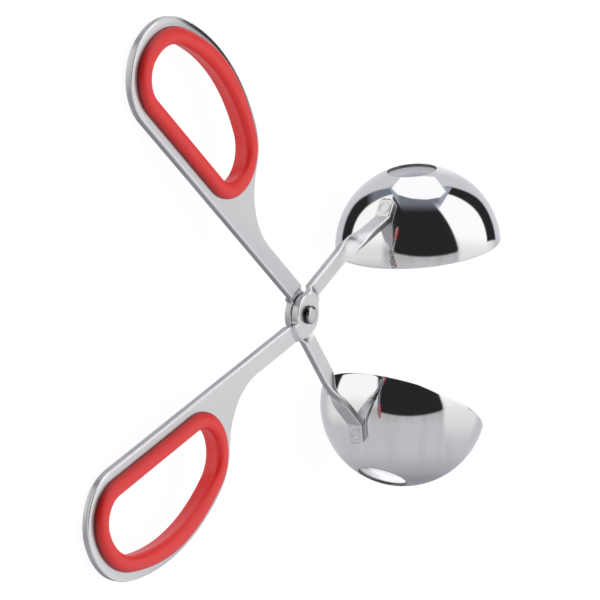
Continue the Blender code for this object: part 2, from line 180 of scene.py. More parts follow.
class ShaderSheet:
    """A shader tree with short ways to add what the finishes share."""

    def __init__(self, tree: bpy.types.NodeTree) -> None:
        """Keep the tree that the nodes go into."""
        self.tree = tree

    def node(self, kind: str) -> bpy.types.Node:
        """New node of a kind."""
        return self.tree.nodes.new(kind)

    def link(self, source: bpy.types.NodeSocket, target: bpy.types.NodeSocket) -> None:
        """Join an output to an input."""
        self.tree.links.new(source, target)

    def object_place(self) -> bpy.types.NodeSocket:
        """Object coordinates."""
        return self.node("ShaderNodeTexCoord").outputs["Object"]

    def seen_directly(self) -> Field:
        """1 for what the camera itself looks at."""
        return Field(self.tree, self.node("ShaderNodeLightPath").outputs["Is Camera Ray"])

    def vector_math(self, operation: str, source: bpy.types.NodeSocket,
                    other: Sequence[float] = (0.0, 0.0, 0.0)) -> bpy.types.Node:
        """Vector Math node.

        Args:
            operation: Its operation.
            source: The output that gives its first vector.
            other: Its second vector, where the operation has one.

        Returns:
            The node.
        """
        node = self.node("ShaderNodeVectorMath")
        node.operation = operation
        node.inputs[1].default_value = other
        self.link(source, node.inputs[0])
        return node

    def flat_place(self, x: Field, y: Field) -> bpy.types.NodeSocket:
        """Coordinates of two fields, in a plane.

        Args:
            x: The first coordinate.
            y: The second coordinate.

        Returns:
            The coordinates.
        """
        joined = self.node("ShaderNodeCombineXYZ")
        self.link(x.socket, joined.inputs["X"])
        self.link(y.socket, joined.inputs["Y"])
        return joined.outputs["Vector"]

    def in_frame(self, place: bpy.types.NodeSocket, matrix: Matrix, stretch: Colour) -> bpy.types.NodeSocket:
        """Place as seen from a frame, stretched along its axes.

        Args:
            place: Coordinates in the row frame.
            matrix: The frame.
            stretch: Factors along its axes.

        Returns:
            The new coordinates.
        """
        inverse = matrix.inverted()
        mapping = self.node("ShaderNodeMapping")
        mapping.vector_type = "POINT"
        mapping.inputs["Location"].default_value = inverse.translation
        mapping.inputs["Rotation"].default_value = inverse.to_euler()
        self.link(place, mapping.inputs["Vector"])
        return self.vector_math("MULTIPLY", mapping.outputs["Vector"], stretch).outputs["Vector"]

    def noise(self, place: bpy.types.NodeSocket, scale: float, detail: float) -> Field:
        """Noise from 0 to 1 at a place.

        Args:
            place: The place.
            scale: How many features fit in a unit.
            detail: How many finer layers it has.

        Returns:
            The noise.
        """
        noise = self.node("ShaderNodeTexNoise")
        noise.inputs["Scale"].default_value = scale
        noise.inputs["Detail"].default_value = detail
        self.link(place, noise.inputs["Vector"])
        return Field(self.tree, noise.outputs["Fac"])

    def attribute(self, name: str) -> Field:
        """A number that the mesh carries, 0 where it carries none.

        Args:
            name: The attribute's name.

        Returns:
            The number.
        """
        reader = self.node("ShaderNodeAttribute")
        reader.attribute_name = name
        return Field(self.tree, reader.outputs["Fac"])

    def between(self, mask: Field, low: "Colour | bpy.types.NodeSocket",
                high: Colour) -> bpy.types.NodeSocket:
        """Colour that goes from low to high with a mask.

        Args:
            mask: 0 for low and 1 for high.
            low: A colour, or the output that gives it.
            high: The other colour.

        Returns:
            The mixed colour.
        """
        mix = self.node("ShaderNodeMix")
        mix.data_type = "RGBA"
        if isinstance(low, bpy.types.NodeSocket):
            self.link(low, mix.inputs["A"])
        else:
            mix.inputs["A"].default_value = (*low, 1.0)
        mix.inputs["B"].default_value = (*high, 1.0)
        self.link(mask.socket, mix.inputs["Factor"])
        return mix.outputs["Result"]

    def bump(self, height: Field, distance: float) -> bpy.types.NodeSocket:
        """Normal bent by a height.

        Args:
            height: The height, from 0 to 1.
            distance: The height of 1, in metres.

        Returns:
            The normal.
        """
        bump = self.node("ShaderNodeBump")
        bump.inputs["Distance"].default_value = distance
        bump.inputs["Strength"].default_value = 1.0
        self.link(height.socket, bump.inputs["Height"])
        return bump.outputs["Normal"]


@dataclass(frozen=True)
class Finish:
    """A procedural finish. Subclasses add their detail to the plain shader."""

    name: str
    colour: Colour
    roughness: float
    metallic: float = 0.0

    def material(self) -> bpy.types.Material:
        """New material with this finish.

        Returns:
            The material.
        """
        material = bpy.data.materials.new(self.name)
        material.use_nodes = True
        sheet = ShaderSheet(material.node_tree)
        shader = material.node_tree.nodes["Principled BSDF"]
        shader.inputs["Base Color"].default_value = (*self.colour, 1.0)
        shader.inputs["Roughness"].default_value = self.roughness
        shader.inputs["Metallic"].default_value = self.metallic
        self.detail(sheet, shader)
        return material

    def shade(self, share: float) -> Colour:
        """This finish's colour times a factor."""
        return tuple(value * share for value in self.colour)

    def detail(self, sheet: ShaderSheet, shader: bpy.types.Node) -> None:
        """Add this finish's nodes to a shader."""
        raise NotImplementedError


@dataclass(frozen=True)
class SatinSteel(Finish):
    """Tumbled stainless steel: an even satin grain with faint cloudy spots, a painted highlight on the
    rolled edges, sheared sides streaked and painted darker as shade, and painted shade at marked seams."""

    frame: Matrix = field(default_factory=Matrix)
    # painted highlight on the rolled edges: a paler, less metallic and slightly rougher finish there
    edge_highlight: Colour = (0.86, 0.86, 0.87)
    edge_highlight_metallic_drop: float = 0.3
    edge_highlight_roughness: float = 0.04
    crown_gloss: float = 0.14
    grain_size: float = 0.00025
    grain_height: float = 0.0000035
    grain_roughness: float = 0.05
    cloud_size: float = 0.009
    cloud_roughness: float = 0.06
    streak_stretch: Colour = (90.0, 90.0, 2600.0)
    light_share: float = 1.05
    dark_share: float = 0.93
    torn_edge: float = 0.52
    torn_softness: float = 0.16
    # painted shade: the sheared sides are darker overall, while their torn streaks are real shear marks
    side_shade_share: float = 0.76
    torn_share: float = 0.55
    # painted shade along seams that a section marks, such as the rivet's foot
    seam_shade_share: float = 0.12

    def detail(self, sheet: ShaderSheet, shader: bpy.types.Node) -> None:
        """Add grain, clouds, painted edge highlights, painted side shade with streaks, painted seam shade and
        an uneven gloss.

        Args:
            sheet: The material's tree.
            shader: Its Principled BSDF node.
        """
        place = sheet.object_place()
        grain = sheet.noise(place, 1 / self.grain_size, 3.0)
        clouds = sheet.noise(place, 1 / self.cloud_size, 2.0)
        streaks = sheet.noise(sheet.in_frame(place, self.frame, self.streak_stretch), 1.0, 2.0)
        rolled, side, crown = (sheet.attribute(name) for name in (ROLLED_EDGE, SHEARED_SIDE, CROWNED_RIM))
        colour = sheet.between(clouds, self.shade(self.dark_share), self.shade(self.light_share))
        # painted shade on the sheared sides; the torn streaks below are real shear marks
        colour = sheet.between(side, colour, self.shade(self.side_shade_share))
        torn = side * streaks.above(self.torn_edge, self.torn_softness)
        colour = sheet.between(torn, colour, self.shade(self.torn_share))
        # painted highlight: the rolled edges take the paler colour
        colour = sheet.between(rolled, colour, self.edge_highlight)
        # painted shade where a section marks a seam, at the rivet's foot
        colour = sheet.between(sheet.attribute(SEAM_SHADE), colour, self.shade(self.seam_shade_share))
        sheet.link(colour, shader.inputs["Base Color"])
        roughness = clouds * self.cloud_roughness + grain * self.grain_roughness
        roughness = roughness + rolled * self.edge_highlight_roughness - crown * self.crown_gloss
        roughness = roughness + (self.roughness - (self.cloud_roughness + self.grain_roughness) / 2)
        sheet.link(roughness.socket, shader.inputs["Roughness"])
        # painted highlight: the rolled edges are made less metallic
        sheet.link((rolled * -self.edge_highlight_metallic_drop + self.metallic).socket, shader.inputs["Metallic"])
        sheet.link(sheet.bump(grain, self.grain_height), shader.inputs["Normal"])


@dataclass(frozen=True)
class PolishedSteel(Finish):
    """Pressed and polished stainless steel: nearly a mirror, with faint streaks towards the pole and a
    slight waviness from the press. The inside is less glossy and painted paler, as light inside the cup, and
    the vent's cut edge is dark.

    The frame is the cup's own: its pole is +z, and its ball's centre lies the setback below the origin.
    """

    frame: Matrix = field(default_factory=Matrix)
    vent_radius: float = 0.0
    inside_radius: float = 0.0
    setback: float = 0.0
    inside_roughness: float = 0.17
    # painted light: the inside is paler, as light inside the cup
    inside_light_share: float = 1.35
    cut_roughness: float = 0.45
    cut_share: float = 0.27
    border_softness: float = 0.0001
    dark_share: float = 0.95
    streak_count: float = 11.0
    streak_density: float = 45.0
    streak_roughness: float = 0.05
    streak_gloss: float = 0.02
    wave_size: float = 0.02
    wave_height: float = 0.00002

    def detail(self, sheet: ShaderSheet, shader: bpy.types.Node) -> None:
        """Add streaks, waves, the inside and the cut edge.

        Args:
            sheet: The material's tree.
            shader: Its Principled BSDF node.
        """
        local = sheet.in_frame(sheet.object_place(), self.frame, (1.0, 1.0, 1.0))
        split = sheet.node("ShaderNodeSeparateXYZ")
        sheet.link(local, split.inputs["Vector"])
        x, y, z = (Field(sheet.tree, split.outputs[axis]) for axis in "XYZ")
        around = y.math("ARCTAN2", x)
        streak_place = sheet.flat_place(around * self.streak_count, z * self.streak_density)
        streaks = sheet.noise(streak_place, 1.0, 3.0)
        rise, flat = z + self.setback, x * x + y * y
        inside = (flat + rise * rise).math("SQRT").below(self.inside_radius, self.border_softness)
        cut = flat.math("SQRT").below(self.vent_radius, self.border_softness)
        colour = sheet.between(streaks, self.shade(self.dark_share), self.colour)
        # painted light: the inside takes the paler colour
        colour = sheet.between(inside, colour, self.shade(self.inside_light_share))
        colour = sheet.between(cut, colour, self.shade(self.cut_share))
        sheet.link(colour, shader.inputs["Base Color"])
        roughness = streaks * self.streak_roughness + (self.roughness - self.streak_gloss)
        roughness = roughness + inside * (self.inside_roughness - self.roughness)
        roughness = roughness + cut * (self.cut_roughness - self.inside_roughness)
        sheet.link(roughness.socket, shader.inputs["Roughness"])
        waves = sheet.noise(sheet.object_place(), 1 / self.wave_size, 1.0)
        sheet.link(sheet.bump(waves, self.wave_height), shader.inputs["Normal"])


@dataclass(frozen=True)
class MouldedPlastic(Finish):
    """Half-gloss moulded plastic with a very fine skin, with painted shade beside the steel."""

    # painted shade along the seam beside the steel
    seam_shade_share: float = 0.38
    painted_shade: float = 0.85
    dark_share: float = 0.93
    skin_size: float = 0.0009
    skin_height: float = 0.000006
    skin_roughness: float = 0.08
    cloud_size: float = 0.02
    glow_weight: float = 0.08
    glow_radii: Colour = (0.002, 0.0004, 0.0003)

    def detail(self, sheet: ShaderSheet, shader: bpy.types.Node) -> None:
        """Add the skin, a slight change of colour, the painted shade along the seam and a little light
        inside.

        Args:
            sheet: The material's tree.
            shader: Its Principled BSDF node.
        """
        place = sheet.object_place()
        clouds = sheet.noise(place, 1 / self.cloud_size, 2.0)
        skin = sheet.noise(place, 1 / self.skin_size, 2.0)
        colour = sheet.between(clouds, self.shade(self.dark_share), self.colour)
        # painted shade at the grip's foot beside the steel
        seam = sheet.attribute(SEAM_SHADE) * self.painted_shade
        sheet.link(sheet.between(seam, colour, self.shade(self.seam_shade_share)), shader.inputs["Base Color"])
        roughness = skin * self.skin_roughness + (self.roughness - self.skin_roughness / 2)
        sheet.link(roughness.socket, shader.inputs["Roughness"])
        sheet.link(sheet.bump(skin, self.skin_height), shader.inputs["Normal"])
        shader.inputs["Subsurface Weight"].default_value = self.glow_weight
        shader.inputs["Subsurface Radius"].default_value = self.glow_radii
        shader.inputs["Subsurface Scale"].default_value = 1.0


# The two halves in the row frame


class Half(Enum):
    """The two halves, named as the frame's bodies are."""

    FRONT = "front_half"
    BACK = "back_half"


@dataclass(frozen=True)
class Crossing:
    """How the two halves cross at rest, read from the frame's joint."""

    pivot: Vector
    tilt: float
    half_opening: float

    @classmethod
    def from_frame(cls, record: dict) -> "Crossing":
        """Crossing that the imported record's joint states.

        Args:
            record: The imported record.

        Returns:
            The crossing.
        """
        joint = record["behaviour"]["joints"][0]
        axis = Vector(joint["axis"])
        closing = math.radians(joint["range_deg"][1])
        return cls(Vector(joint["pos_m"]), math.atan2(-axis.x, axis.z), closing / 2)

    def half_frame(self, half: Half) -> Matrix:
        """Frame of a half: hinge axis along z, its own cup towards +y, its loop on the -y side.

        Args:
            half: The half.

        Returns:
            Its frame, as seen from the row frame.
        """
        tongs = Matrix.Translation(self.pivot) @ Euler((0, -self.tilt, 0)).to_matrix().to_4x4()
        if half is Half.FRONT:
            turn = Euler((0, 0, self.half_opening))
        else:
            turn = Euler((math.pi, 0, -self.half_opening))
        return tongs @ turn.to_matrix().to_4x4()


def new_object(name: str, data: bpy.types.ID) -> bpy.types.Object:
    """Object at the origin, with a mesh or other data.

    Args:
        name: Its name.
        data: Its mesh, camera or lamp.

    Returns:
        The object, linked to the scene.
    """
    piece = bpy.data.objects.new(name, data)
    bpy.context.scene.collection.objects.link(piece)
    return piece


def applied(piece: bpy.types.Object) -> bpy.types.Mesh:
    """Mesh of a piece with its modifiers, which it then loses.

    Args:
        piece: The piece.

    Returns:
        The new mesh.
    """
    bpy.context.view_layer.update()
    evaluated = piece.evaluated_get(bpy.context.evaluated_depsgraph_get())
    mesh = bpy.data.meshes.new_from_object(evaluated)
    piece.modifiers.clear()
    return mesh


def dress(name: str, mesh: bpy.types.Mesh, matrix: Matrix, material: bpy.types.Material, half: Half,
          node: str | None) -> None:
    """Put a finished mesh in its place on a half.

    Args:
        name: Name of the piece.
        mesh: Its mesh, about its own frame or the half's.
        matrix: Place of that frame.
        material: Its finish.
        half: The half it rides on.
        node: The node it stands for, if any.
    """
    placed = mesh.copy()
    placed.name = name
    placed.transform(matrix)
    placed.materials.clear()
    placed.materials.append(material)
    piece = new_object(name, placed)
    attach(piece, half.value)
    if node:
        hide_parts(node)
    log.info("%s: %d faces", name, len(placed.polygons))


# Sections swept round a path


class SweptSection:
    """Geometry Nodes tree that sweeps a section round a closed path.

    The path is the modified mesh: its vertices in order, each with its outward direction. A section's
    vertices give a distance along that direction, a height, and how much painted shade the surface has there.
    """

    PATH_DIRECTION: ClassVar[str] = "outward"
    SHARP_ANGLE: ClassVar[float] = math.radians(40)

    def __init__(self) -> None:
        """Build the tree."""
        self.tree = bpy.data.node_groups.new("swept_section", "GeometryNodeTree")
        sides = self.tree.interface
        sides.new_socket("Path", in_out="INPUT", socket_type="NodeSocketGeometry")
        kinds = {"Section": "Object", "Path Points": "Int", "Section Points": "Int", "Seam Width": "Float",
                 "Material": "Material"}
        self.sockets = {name: sides.new_socket(name, in_out="INPUT", socket_type=f"NodeSocket{kind}")
                        for name, kind in kinds.items()}
        sides.new_socket("Piece", in_out="OUTPUT", socket_type="NodeSocketGeometry")
        self._wire()

    def _add(self, kind: str, **links: bpy.types.NodeSocket) -> bpy.types.Node:
        """New node with named inputs joined; an underscore in a name stands for a space.

        Args:
            kind: The node's type.
            links: The outputs that its inputs are joined to.

        Returns:
            The node.
        """
        node = self.tree.nodes.new(kind)
        for name, source in links.items():
            self.tree.links.new(source, node.inputs[name.replace("_", " ")])
        return node

    def _integer(self, operation: str, first: bpy.types.NodeSocket,
                 second: bpy.types.NodeSocket) -> bpy.types.NodeSocket:
        """Result of an integer operation.

        Args:
            operation: The node's operation.
            first: The first number.
            second: The second number.

        Returns:
            The result.
        """
        node = self.tree.nodes.new("FunctionNodeIntegerMath")
        node.operation = operation
        self.tree.links.new(first, node.inputs[0])
        self.tree.links.new(second, node.inputs[1])
        return node.outputs[0]

    def _sample(self, geometry: bpy.types.NodeSocket, value: bpy.types.NodeSocket,
                index: bpy.types.NodeSocket) -> bpy.types.NodeSocket:
        """A vector of a geometry's vertex.

        Args:
            geometry: The geometry.
            value: What is read there.
            index: The vertex's index.

        Returns:
            The vector.
        """
        node = self.tree.nodes.new("GeometryNodeSampleIndex")
        node.data_type = "FLOAT_VECTOR"
        node.domain = "POINT"
        self.tree.links.new(geometry, node.inputs["Geometry"])
        self.tree.links.new(value, node.inputs["Value"])
        self.tree.links.new(index, node.inputs["Index"])
        return node.outputs["Value"]

    def _vector(self, operation: str, first: bpy.types.NodeSocket,
                second: bpy.types.NodeSocket | None = None,
                scale: bpy.types.NodeSocket | None = None) -> bpy.types.NodeSocket:
        """Result of a vector operation.

        Args:
            operation: The node's operation.
            first: The first vector.
            second: The second vector, where the operation has one.
            scale: The factor, where it has one.

        Returns:
            The result.
        """
        node = self.tree.nodes.new("ShaderNodeVectorMath")
        node.operation = operation
        self.tree.links.new(first, node.inputs[0])
        if second:
            self.tree.links.new(second, node.inputs[1])
        if scale:
            self.tree.links.new(scale, node.inputs["Scale"])
        return node.outputs["Vector"]

    def _wire(self) -> None:
        """Lay a grid of path points by section points over the sweep, and merge its seams."""
        given = self.tree.nodes.new("NodeGroupInput").outputs
        result = self.tree.nodes.new("NodeGroupOutput")
        section = self._add("GeometryNodeObjectInfo", Object=given["Section"]).outputs["Geometry"]
        one = self.tree.nodes.new("FunctionNodeInputInt")
        one.integer = 1
        around = self._integer("ADD", given["Path Points"], one.outputs[0])
        across = self._integer("ADD", given["Section Points"], one.outputs[0])
        grid = self._add("GeometryNodeMeshGrid", Vertices_X=around, Vertices_Y=across)
        index = self.tree.nodes.new("GeometryNodeInputIndex").outputs[0]
        column = self._integer("MODULO", self._integer("DIVIDE_FLOOR", index, across), given["Path Points"])
        row = self._integer("MODULO", self._integer("MODULO", index, across), given["Section Points"])
        place = self.tree.nodes.new("GeometryNodeInputPosition").outputs[0]
        direction = self.tree.nodes.new("GeometryNodeInputNamedAttribute")
        direction.data_type = "FLOAT_VECTOR"
        direction.inputs["Name"].default_value = self.PATH_DIRECTION
        foot = self._sample(given["Path"], place, column)
        outward = self._sample(given["Path"], direction.outputs["Attribute"], column)
        step = self._add("ShaderNodeSeparateXYZ", Vector=self._sample(section, place, row)).outputs
        lift = self._add("ShaderNodeCombineXYZ", Z=step["Y"]).outputs["Vector"]
        aside = self._vector("SCALE", outward, scale=step["X"])
        target = self._vector("ADD", self._vector("ADD", foot, aside), lift)
        laid = self._add("GeometryNodeSetPosition", Geometry=grid.outputs["Mesh"], Position=target)
        # stores the painted shade that each section point carries
        seam_shaded = self._add("GeometryNodeStoreNamedAttribute", Geometry=laid.outputs["Geometry"],
                           Value=step["Z"])
        seam_shaded.inputs["Name"].default_value = SEAM_SHADE
        merged = self._add("GeometryNodeMergeByDistance", Geometry=seam_shaded.outputs["Geometry"],
                           Distance=given["Seam Width"])
        real = self._add("GeometryNodeRealizeInstances", Geometry=merged.outputs["Geometry"])
        dressed = self._add("GeometryNodeSetMaterial", Geometry=real.outputs["Geometry"],
                            Material=given["Material"])
        self.tree.links.new(dressed.outputs["Geometry"], result.inputs["Piece"])

    def sweep(self, path: Sequence[Vector], outward: Sequence[Vector], section: Sequence[Vector],
              material: bpy.types.Material) -> bpy.types.Mesh:
        """Sweep a closed section round a closed path.

        Args:
            path: Points of the path.
            outward: The outward direction at each.
            section: The section's points, as distance outwards and height, and the painted shade if any.
            material: The piece's finish.

        Returns:
            The closed mesh, facing outwards.
        """
        path_mesh = bpy.data.meshes.new("path")
        path_mesh.from_pydata([(*point, 0.0) for point in path], [], [])
        directions = path_mesh.attributes.new(self.PATH_DIRECTION, "FLOAT_VECTOR", "POINT")
        for item, vector in zip(directions.data, outward):
            item.vector = (*vector, 0.0)
        section_mesh = bpy.data.meshes.new("section")
        section_mesh.from_pydata([(*point, 0.0)[:3] for point in section], [], [])
        carrier, profile = new_object("sweep_path", path_mesh), new_object("sweep_section", section_mesh)
        modifier = carrier.modifiers.new("sweep", "NODES")
        modifier.node_group = self.tree
        values = {"Section": profile, "Path Points": len(path), "Section Points": len(section),
                  "Seam Width": SAME_PLACE, "Material": material}
        for name, value in values.items():
            modifier[self.sockets[name].identifier] = value
        mesh = applied(carrier)
        for helper in (carrier, profile):
            bpy.data.objects.remove(helper, do_unlink=True)
        return self._closed(mesh)

    @staticmethod
    def _closed(mesh: bpy.types.Mesh) -> bpy.types.Mesh:
        """Turn the faces outwards and shade all but the sharp edges smooth.

        Args:
            mesh: The swept mesh, which is changed.

        Returns:
            The same mesh.
        """
        solid = bmesh.new()
        solid.from_mesh(mesh)
        bmesh.ops.recalc_face_normals(solid, faces=solid.faces)
        solid.to_mesh(mesh)
        solid.free()
        mesh.shade_smooth()
        mesh.set_sharp_from_angle(angle=SweptSection.SHARP_ANGLE)
        return mesh


# Pieces


@dataclass(frozen=True)
class FingerOpening:
    """Outline of the finger opening, in coordinates along and across the handle.

    LONG_ARC is the long outer arc's place among the runs.
    """

    LONG_ARC: ClassVar[int] = 2
    handle_turn: float = math.pi + math.radians(5.84)
    inner_offset: float = 0.0066
    front_distance: float = 0.0547
    front_radius: float = 0.0074
    rear_distance: float = 0.0883
    rear_radius: float = 0.0057
    rear_arc_start: float = math.radians(5.6)
    rear_arc_radius: float = 0.0115
    outer_arc_radius: float = 0.0417
    corner_points: int = 28
    arc_points: int = 48
    side_points: int = 24

    def front_corner(self) -> Vector:
        """Centre of the corner nearest the hinge."""
        return Vector((self.front_distance, self.inner_offset + self.front_radius))

    def runs(self, last_angle: float) -> list[tuple[Vector, float, float, float, int]]:
        """Arcs of the outline.

        Args:
            last_angle: Angle on the front corner where the outline ends.

        Returns:
            Centre, radius, first angle, last angle and number of points of each arc in turn.
        """
        front = self.front_corner()
        rear = Vector((self.rear_distance, self.inner_offset + self.rear_radius))
        arc_centre = rear - polar(self.rear_arc_radius - self.rear_radius, self.rear_arc_start)
        span = front - arc_centre
        to_rear = self.outer_arc_radius - self.rear_arc_radius
        to_front = self.outer_arc_radius - self.front_radius
        along = (to_rear ** 2 + span.length_squared - to_front ** 2) / (2 * span.length)
        aside = math.sqrt(to_rear ** 2 - along ** 2)
        unit = span.normalized()
        centre = arc_centre + unit * along + Vector((-unit.y, unit.x)) * aside
        start, end = (math.atan2(p.y, p.x) for p in (arc_centre - centre, front - centre))
        corner = self.corner_points
        return [
            (rear, self.rear_radius, -QUARTER_TURN, self.rear_arc_start, corner),
            (arc_centre, self.rear_arc_radius, self.rear_arc_start, start, corner),
            (centre, self.outer_arc_radius, start, end, self.arc_points),
            (front, self.front_radius, end, last_angle, corner),
        ]

    def outline(self, offset: float, last_angle: float = -QUARTER_TURN) -> list[Vector]:
        """Outline at an offset from the opening, from the rear corner to an angle on the front one.

        Args:
            offset: Distance outwards from the opening.
            last_angle: Angle on the front corner where the outline ends.

        Returns:
            The points in order.
        """
        points: list[Vector] = []
        for centre, radius, start, end, count in self.runs(last_angle):
            points += arc(centre, radius + offset, start, end, count)[1 if points else 0:]
        return points

    def path(self, bulge: float) -> tuple[list[Vector], list[Vector]]:
        """Closed path round the opening in the half's frame, with its outward directions.

        Args:
            bulge: Share by which the direction is longer than 1 at the middle of the long arc.

        Returns:
            The points and the directions.
        """
        points, outward = [], []
        for number, (centre, radius, start, end, count) in enumerate(self.runs(-QUARTER_TURN)):
            skip = 1 if points else 0
            points += arc(centre, radius, start, end, count)[skip:]
            directions = arc((0, 0), 1.0, start, end, count)
            if number == self.LONG_ARC:
                for i, direction in enumerate(directions):
                    direction *= 1 + bulge * math.sin(math.pi * i / (count - 1)) ** 2
            outward += directions[skip:]
        first, last = points[0], points[-1]
        for i in range(1, self.side_points):
            points.append(last.lerp(first, i / self.side_points))
            outward.append(Vector((0.0, -1.0)))
        return [[turned(vector, self.handle_turn) for vector in row] for row in (points, outward)]


@dataclass(frozen=True)
class LoopGrip:
    """Red plastic ring that lines a finger opening and holds the steel in its groove.

    Its face is well rounded on the side that shows at rest, and crisp on the other.
    """

    opening: FingerOpening = field(default_factory=FingerOpening)
    width: float = 0.00415
    face_height: float = 0.0027
    back_height: float = 0.0026
    lip_height: float = 0.00103
    bulge: float = 0.14
    groove_depth: float = 0.0025
    hollow: float = 0.0008
    inner_rounding: float = 0.0015
    outer_slope: Vector = Vector((0.002, 0.0016))
    back_rounding: float = 0.00025
    rounding_points: int = 9
    wall_points: int = 7

    def section(self, facing: int) -> list[Vector]:
        """Section of the ring.

        Args:
            facing: 1 where its well rounded side is above, -1 where it is below.

        Returns:
            The section's points: distance outwards from the opening, height and painted shade.
        """
        count, slope = self.rounding_points, self.outer_slope
        inner, back, lip = self.inner_rounding, self.back_rounding, self.lip_height
        foot = Vector((self.width - slope.x, self.face_height - slope.y))
        face = [foot + point * slope for point in arc((0, 0), 1.0, 0, QUARTER_TURN, count)]
        face += arc((inner, self.face_height - inner), inner, QUARTER_TURN, math.pi, count)
        rear = arc((self.hollow + back, back - self.back_height), back, math.pi, 3 * QUARTER_TURN, count // 2)
        rear += arc((self.width - back, back - self.back_height), back, 3 * QUARTER_TURN, 0, count // 2)
        top, bottom = face[-1].y, rear[0].y
        wall = []
        for i in range(1, self.wall_points):
            share = i / self.wall_points
            wall.append(Vector((self.hollow * share * (3 - share) / 2, top + (bottom - top) * share)))
        floor = self.width - self.groove_depth
        groove = [Vector(corner) for corner in
                  ((self.width, -lip), (floor, -lip), (floor, lip), (self.width, lip))]
        points = face + wall + rear + groove
        # painted shade: strongest at the foot of the outer slope beside the steel and fading up it, full in
        # the hidden groove
        painted_shades = [(1 - i / (count - 1)) ** 2 for i in range(count)]
        painted_shades += [0.0] * (len(points) - count - len(groove)) + [1.0] * len(groove)
        return [Vector((point.x, point.y * facing, painted_shade)) for point, painted_shade in zip(points, painted_shades)]

    def mesh(self, facing: int, sweeper: SweptSection, material: bpy.types.Material) -> bpy.types.Mesh:
        """The ring in a half's frame."""
        path, outward = self.opening.path(self.bulge)
        return sweeper.sweep(path, outward, self.section(facing), material)


@dataclass(frozen=True)
class TurnedPiece:
    """A piece turned about z from a section of radius and height."""

    segments: int

    def turn(self, section: Sequence[Vector], sweeper: SweptSection,
             material: bpy.types.Material) -> bpy.types.Mesh:
        """Turn a section about z.

        Args:
            section: The section's points, as radius and height, and the painted shade if any.
            sweeper: The sweeping tree.
            material: The piece's finish.

        Returns:
            The closed mesh.
        """
        outward = [polar(1.0, FULL_TURN * i / self.segments) for i in range(self.segments)]
        path = [Vector((0.0, 0.0))] * self.segments
        return sweeper.sweep(path, outward, section, material)


@dataclass(frozen=True)
class PressedCup(TurnedPiece):
    """Part of a ball of thin polished steel, a little less than half, with a vent hole at its pole."""

    segments: int = 192
    diameter: float = 0.045
    depth: float = 0.02195
    wall: float = 0.0008
    vent_diameter: float = 0.0132
    pivot_distance: float = 0.0616
    rim_gap: float = 0.0003
    edge_rounding: float = 0.00018
    corner_share: float = 0.3
    outer_corner_share: float = 0.1
    inner_corner_share: float = 0.2
    rings: int = 64

    def ball_radius(self) -> float:
        """Radius of the ball that the outside is part of."""
        return ((self.diameter / 2) ** 2 + self.depth ** 2) / (2 * self.depth)

    def setback(self) -> float:
        """Distance of the ball's centre behind the rim."""
        return self.ball_radius() - self.depth

    def skin(self, radius: float) -> list[Vector]:
        """One side of the wall, from the start of the rim's edge to that of the vent's.

        Args:
            radius: Radius of the ball that this side is part of.

        Returns:
            The points in order.
        """
        r = self.edge_rounding
        rim = math.asin((self.setback() + r) / radius)
        pole = math.acos((self.vent_diameter / 2 + r) / radius)
        return arc((0, -self.setback()), radius, rim, pole, self.rings)

    def section(self) -> list[Vector]:
        """Closed section from the rim up the outside, over the vent's edge and down the inside.

        Returns:
            The section's points, as radius and height.
        """
        outer, inner = self.skin(self.ball_radius()), self.skin(self.ball_radius() - self.wall)
        vent, r, cut = self.vent_diameter / 2, self.edge_rounding, self.edge_rounding * self.corner_share
        outer_top, inner_top = outer[-1].y, inner[-1].y
        edge = [Vector((vent + cut, outer_top + r * self.outer_corner_share)), Vector((vent, outer_top - r)),
                Vector((vent, inner_top + r)), Vector((vent + cut, inner_top + r * self.inner_corner_share))]
        outside, inside = outer[0].x, inner[0].x
        rim = [Vector((inside + cut, cut)), Vector((inside + r, 0.0)),
               Vector((outside - r, 0.0)), Vector((outside - cut, cut))]
        return outer + edge + inner[::-1] + rim

    def place(self) -> Matrix:
        """Place of the cup in its half's frame, its pole towards +y."""
        centre = Vector((self.pivot_distance, self.rim_gap / 2, 0.0))
        return Matrix.Translation(centre) @ Matrix.Rotation(-QUARTER_TURN, 4, "X")

    def mesh(self, sweeper: SweptSection, material: bpy.types.Material) -> bpy.types.Mesh:
        """The cup about its own centre, its pole towards +z."""
        return self.turn(self.section(), sweeper, material)


@dataclass(frozen=True)
class PivotRivet(TurnedPiece):
    """Rivet with two low heads, rounded at the shoulder and nearly flat on top."""

    segments: int = 64
    shank_diameter: float = 0.003
    head_diameter: float = 0.0047
    seat: float = 0.00212
    collar: float = 0.00025
    top: float = 0.0035
    squareness: float = 0.5
    dome_points: int = 16
    # dome points over which the painted shade at the head's foot fades out
    shaded_points: int = 7

    def section(self) -> list[Vector]:
        """Closed section from the axis over both heads and back, with the painted shade of each point.

        Returns:
            The section's points, as radius, height and painted shade.
        """
        shank, head, chamfer = self.shank_diameter / 2, self.head_diameter / 2, self.collar / 3
        foot = self.seat + self.collar
        dome = []
        for i in range(1, self.dome_points + 1):
            angle = QUARTER_TURN * i / self.dome_points
            out, up = (abs(value) ** self.squareness for value in polar(1.0, angle))
            # painted shade at the foot of each head, fading up the dome
            painted_shade = max(0.0, 1 - i / self.shaded_points)
            dome.append(Vector((head * out, foot + (self.top - foot) * up, painted_shade)))
        dome[-1].x = 0.0
        flank = ((shank, self.seat), (head - chamfer, self.seat), (head, self.seat + chamfer), (head, foot))
        # the flank beside the disc gets full painted shade
        upper = [Vector((*point, 1.0)) for point in flank] + dome
        lower = [Vector((point.x, -point.y, point.z)) for point in reversed(upper)]
        return lower + upper

    def mesh(self, sweeper: SweptSection, material: bpy.types.Material) -> bpy.types.Mesh:
        """The rivet about the hinge axis."""
        return self.turn(self.section(), sweeper, material)


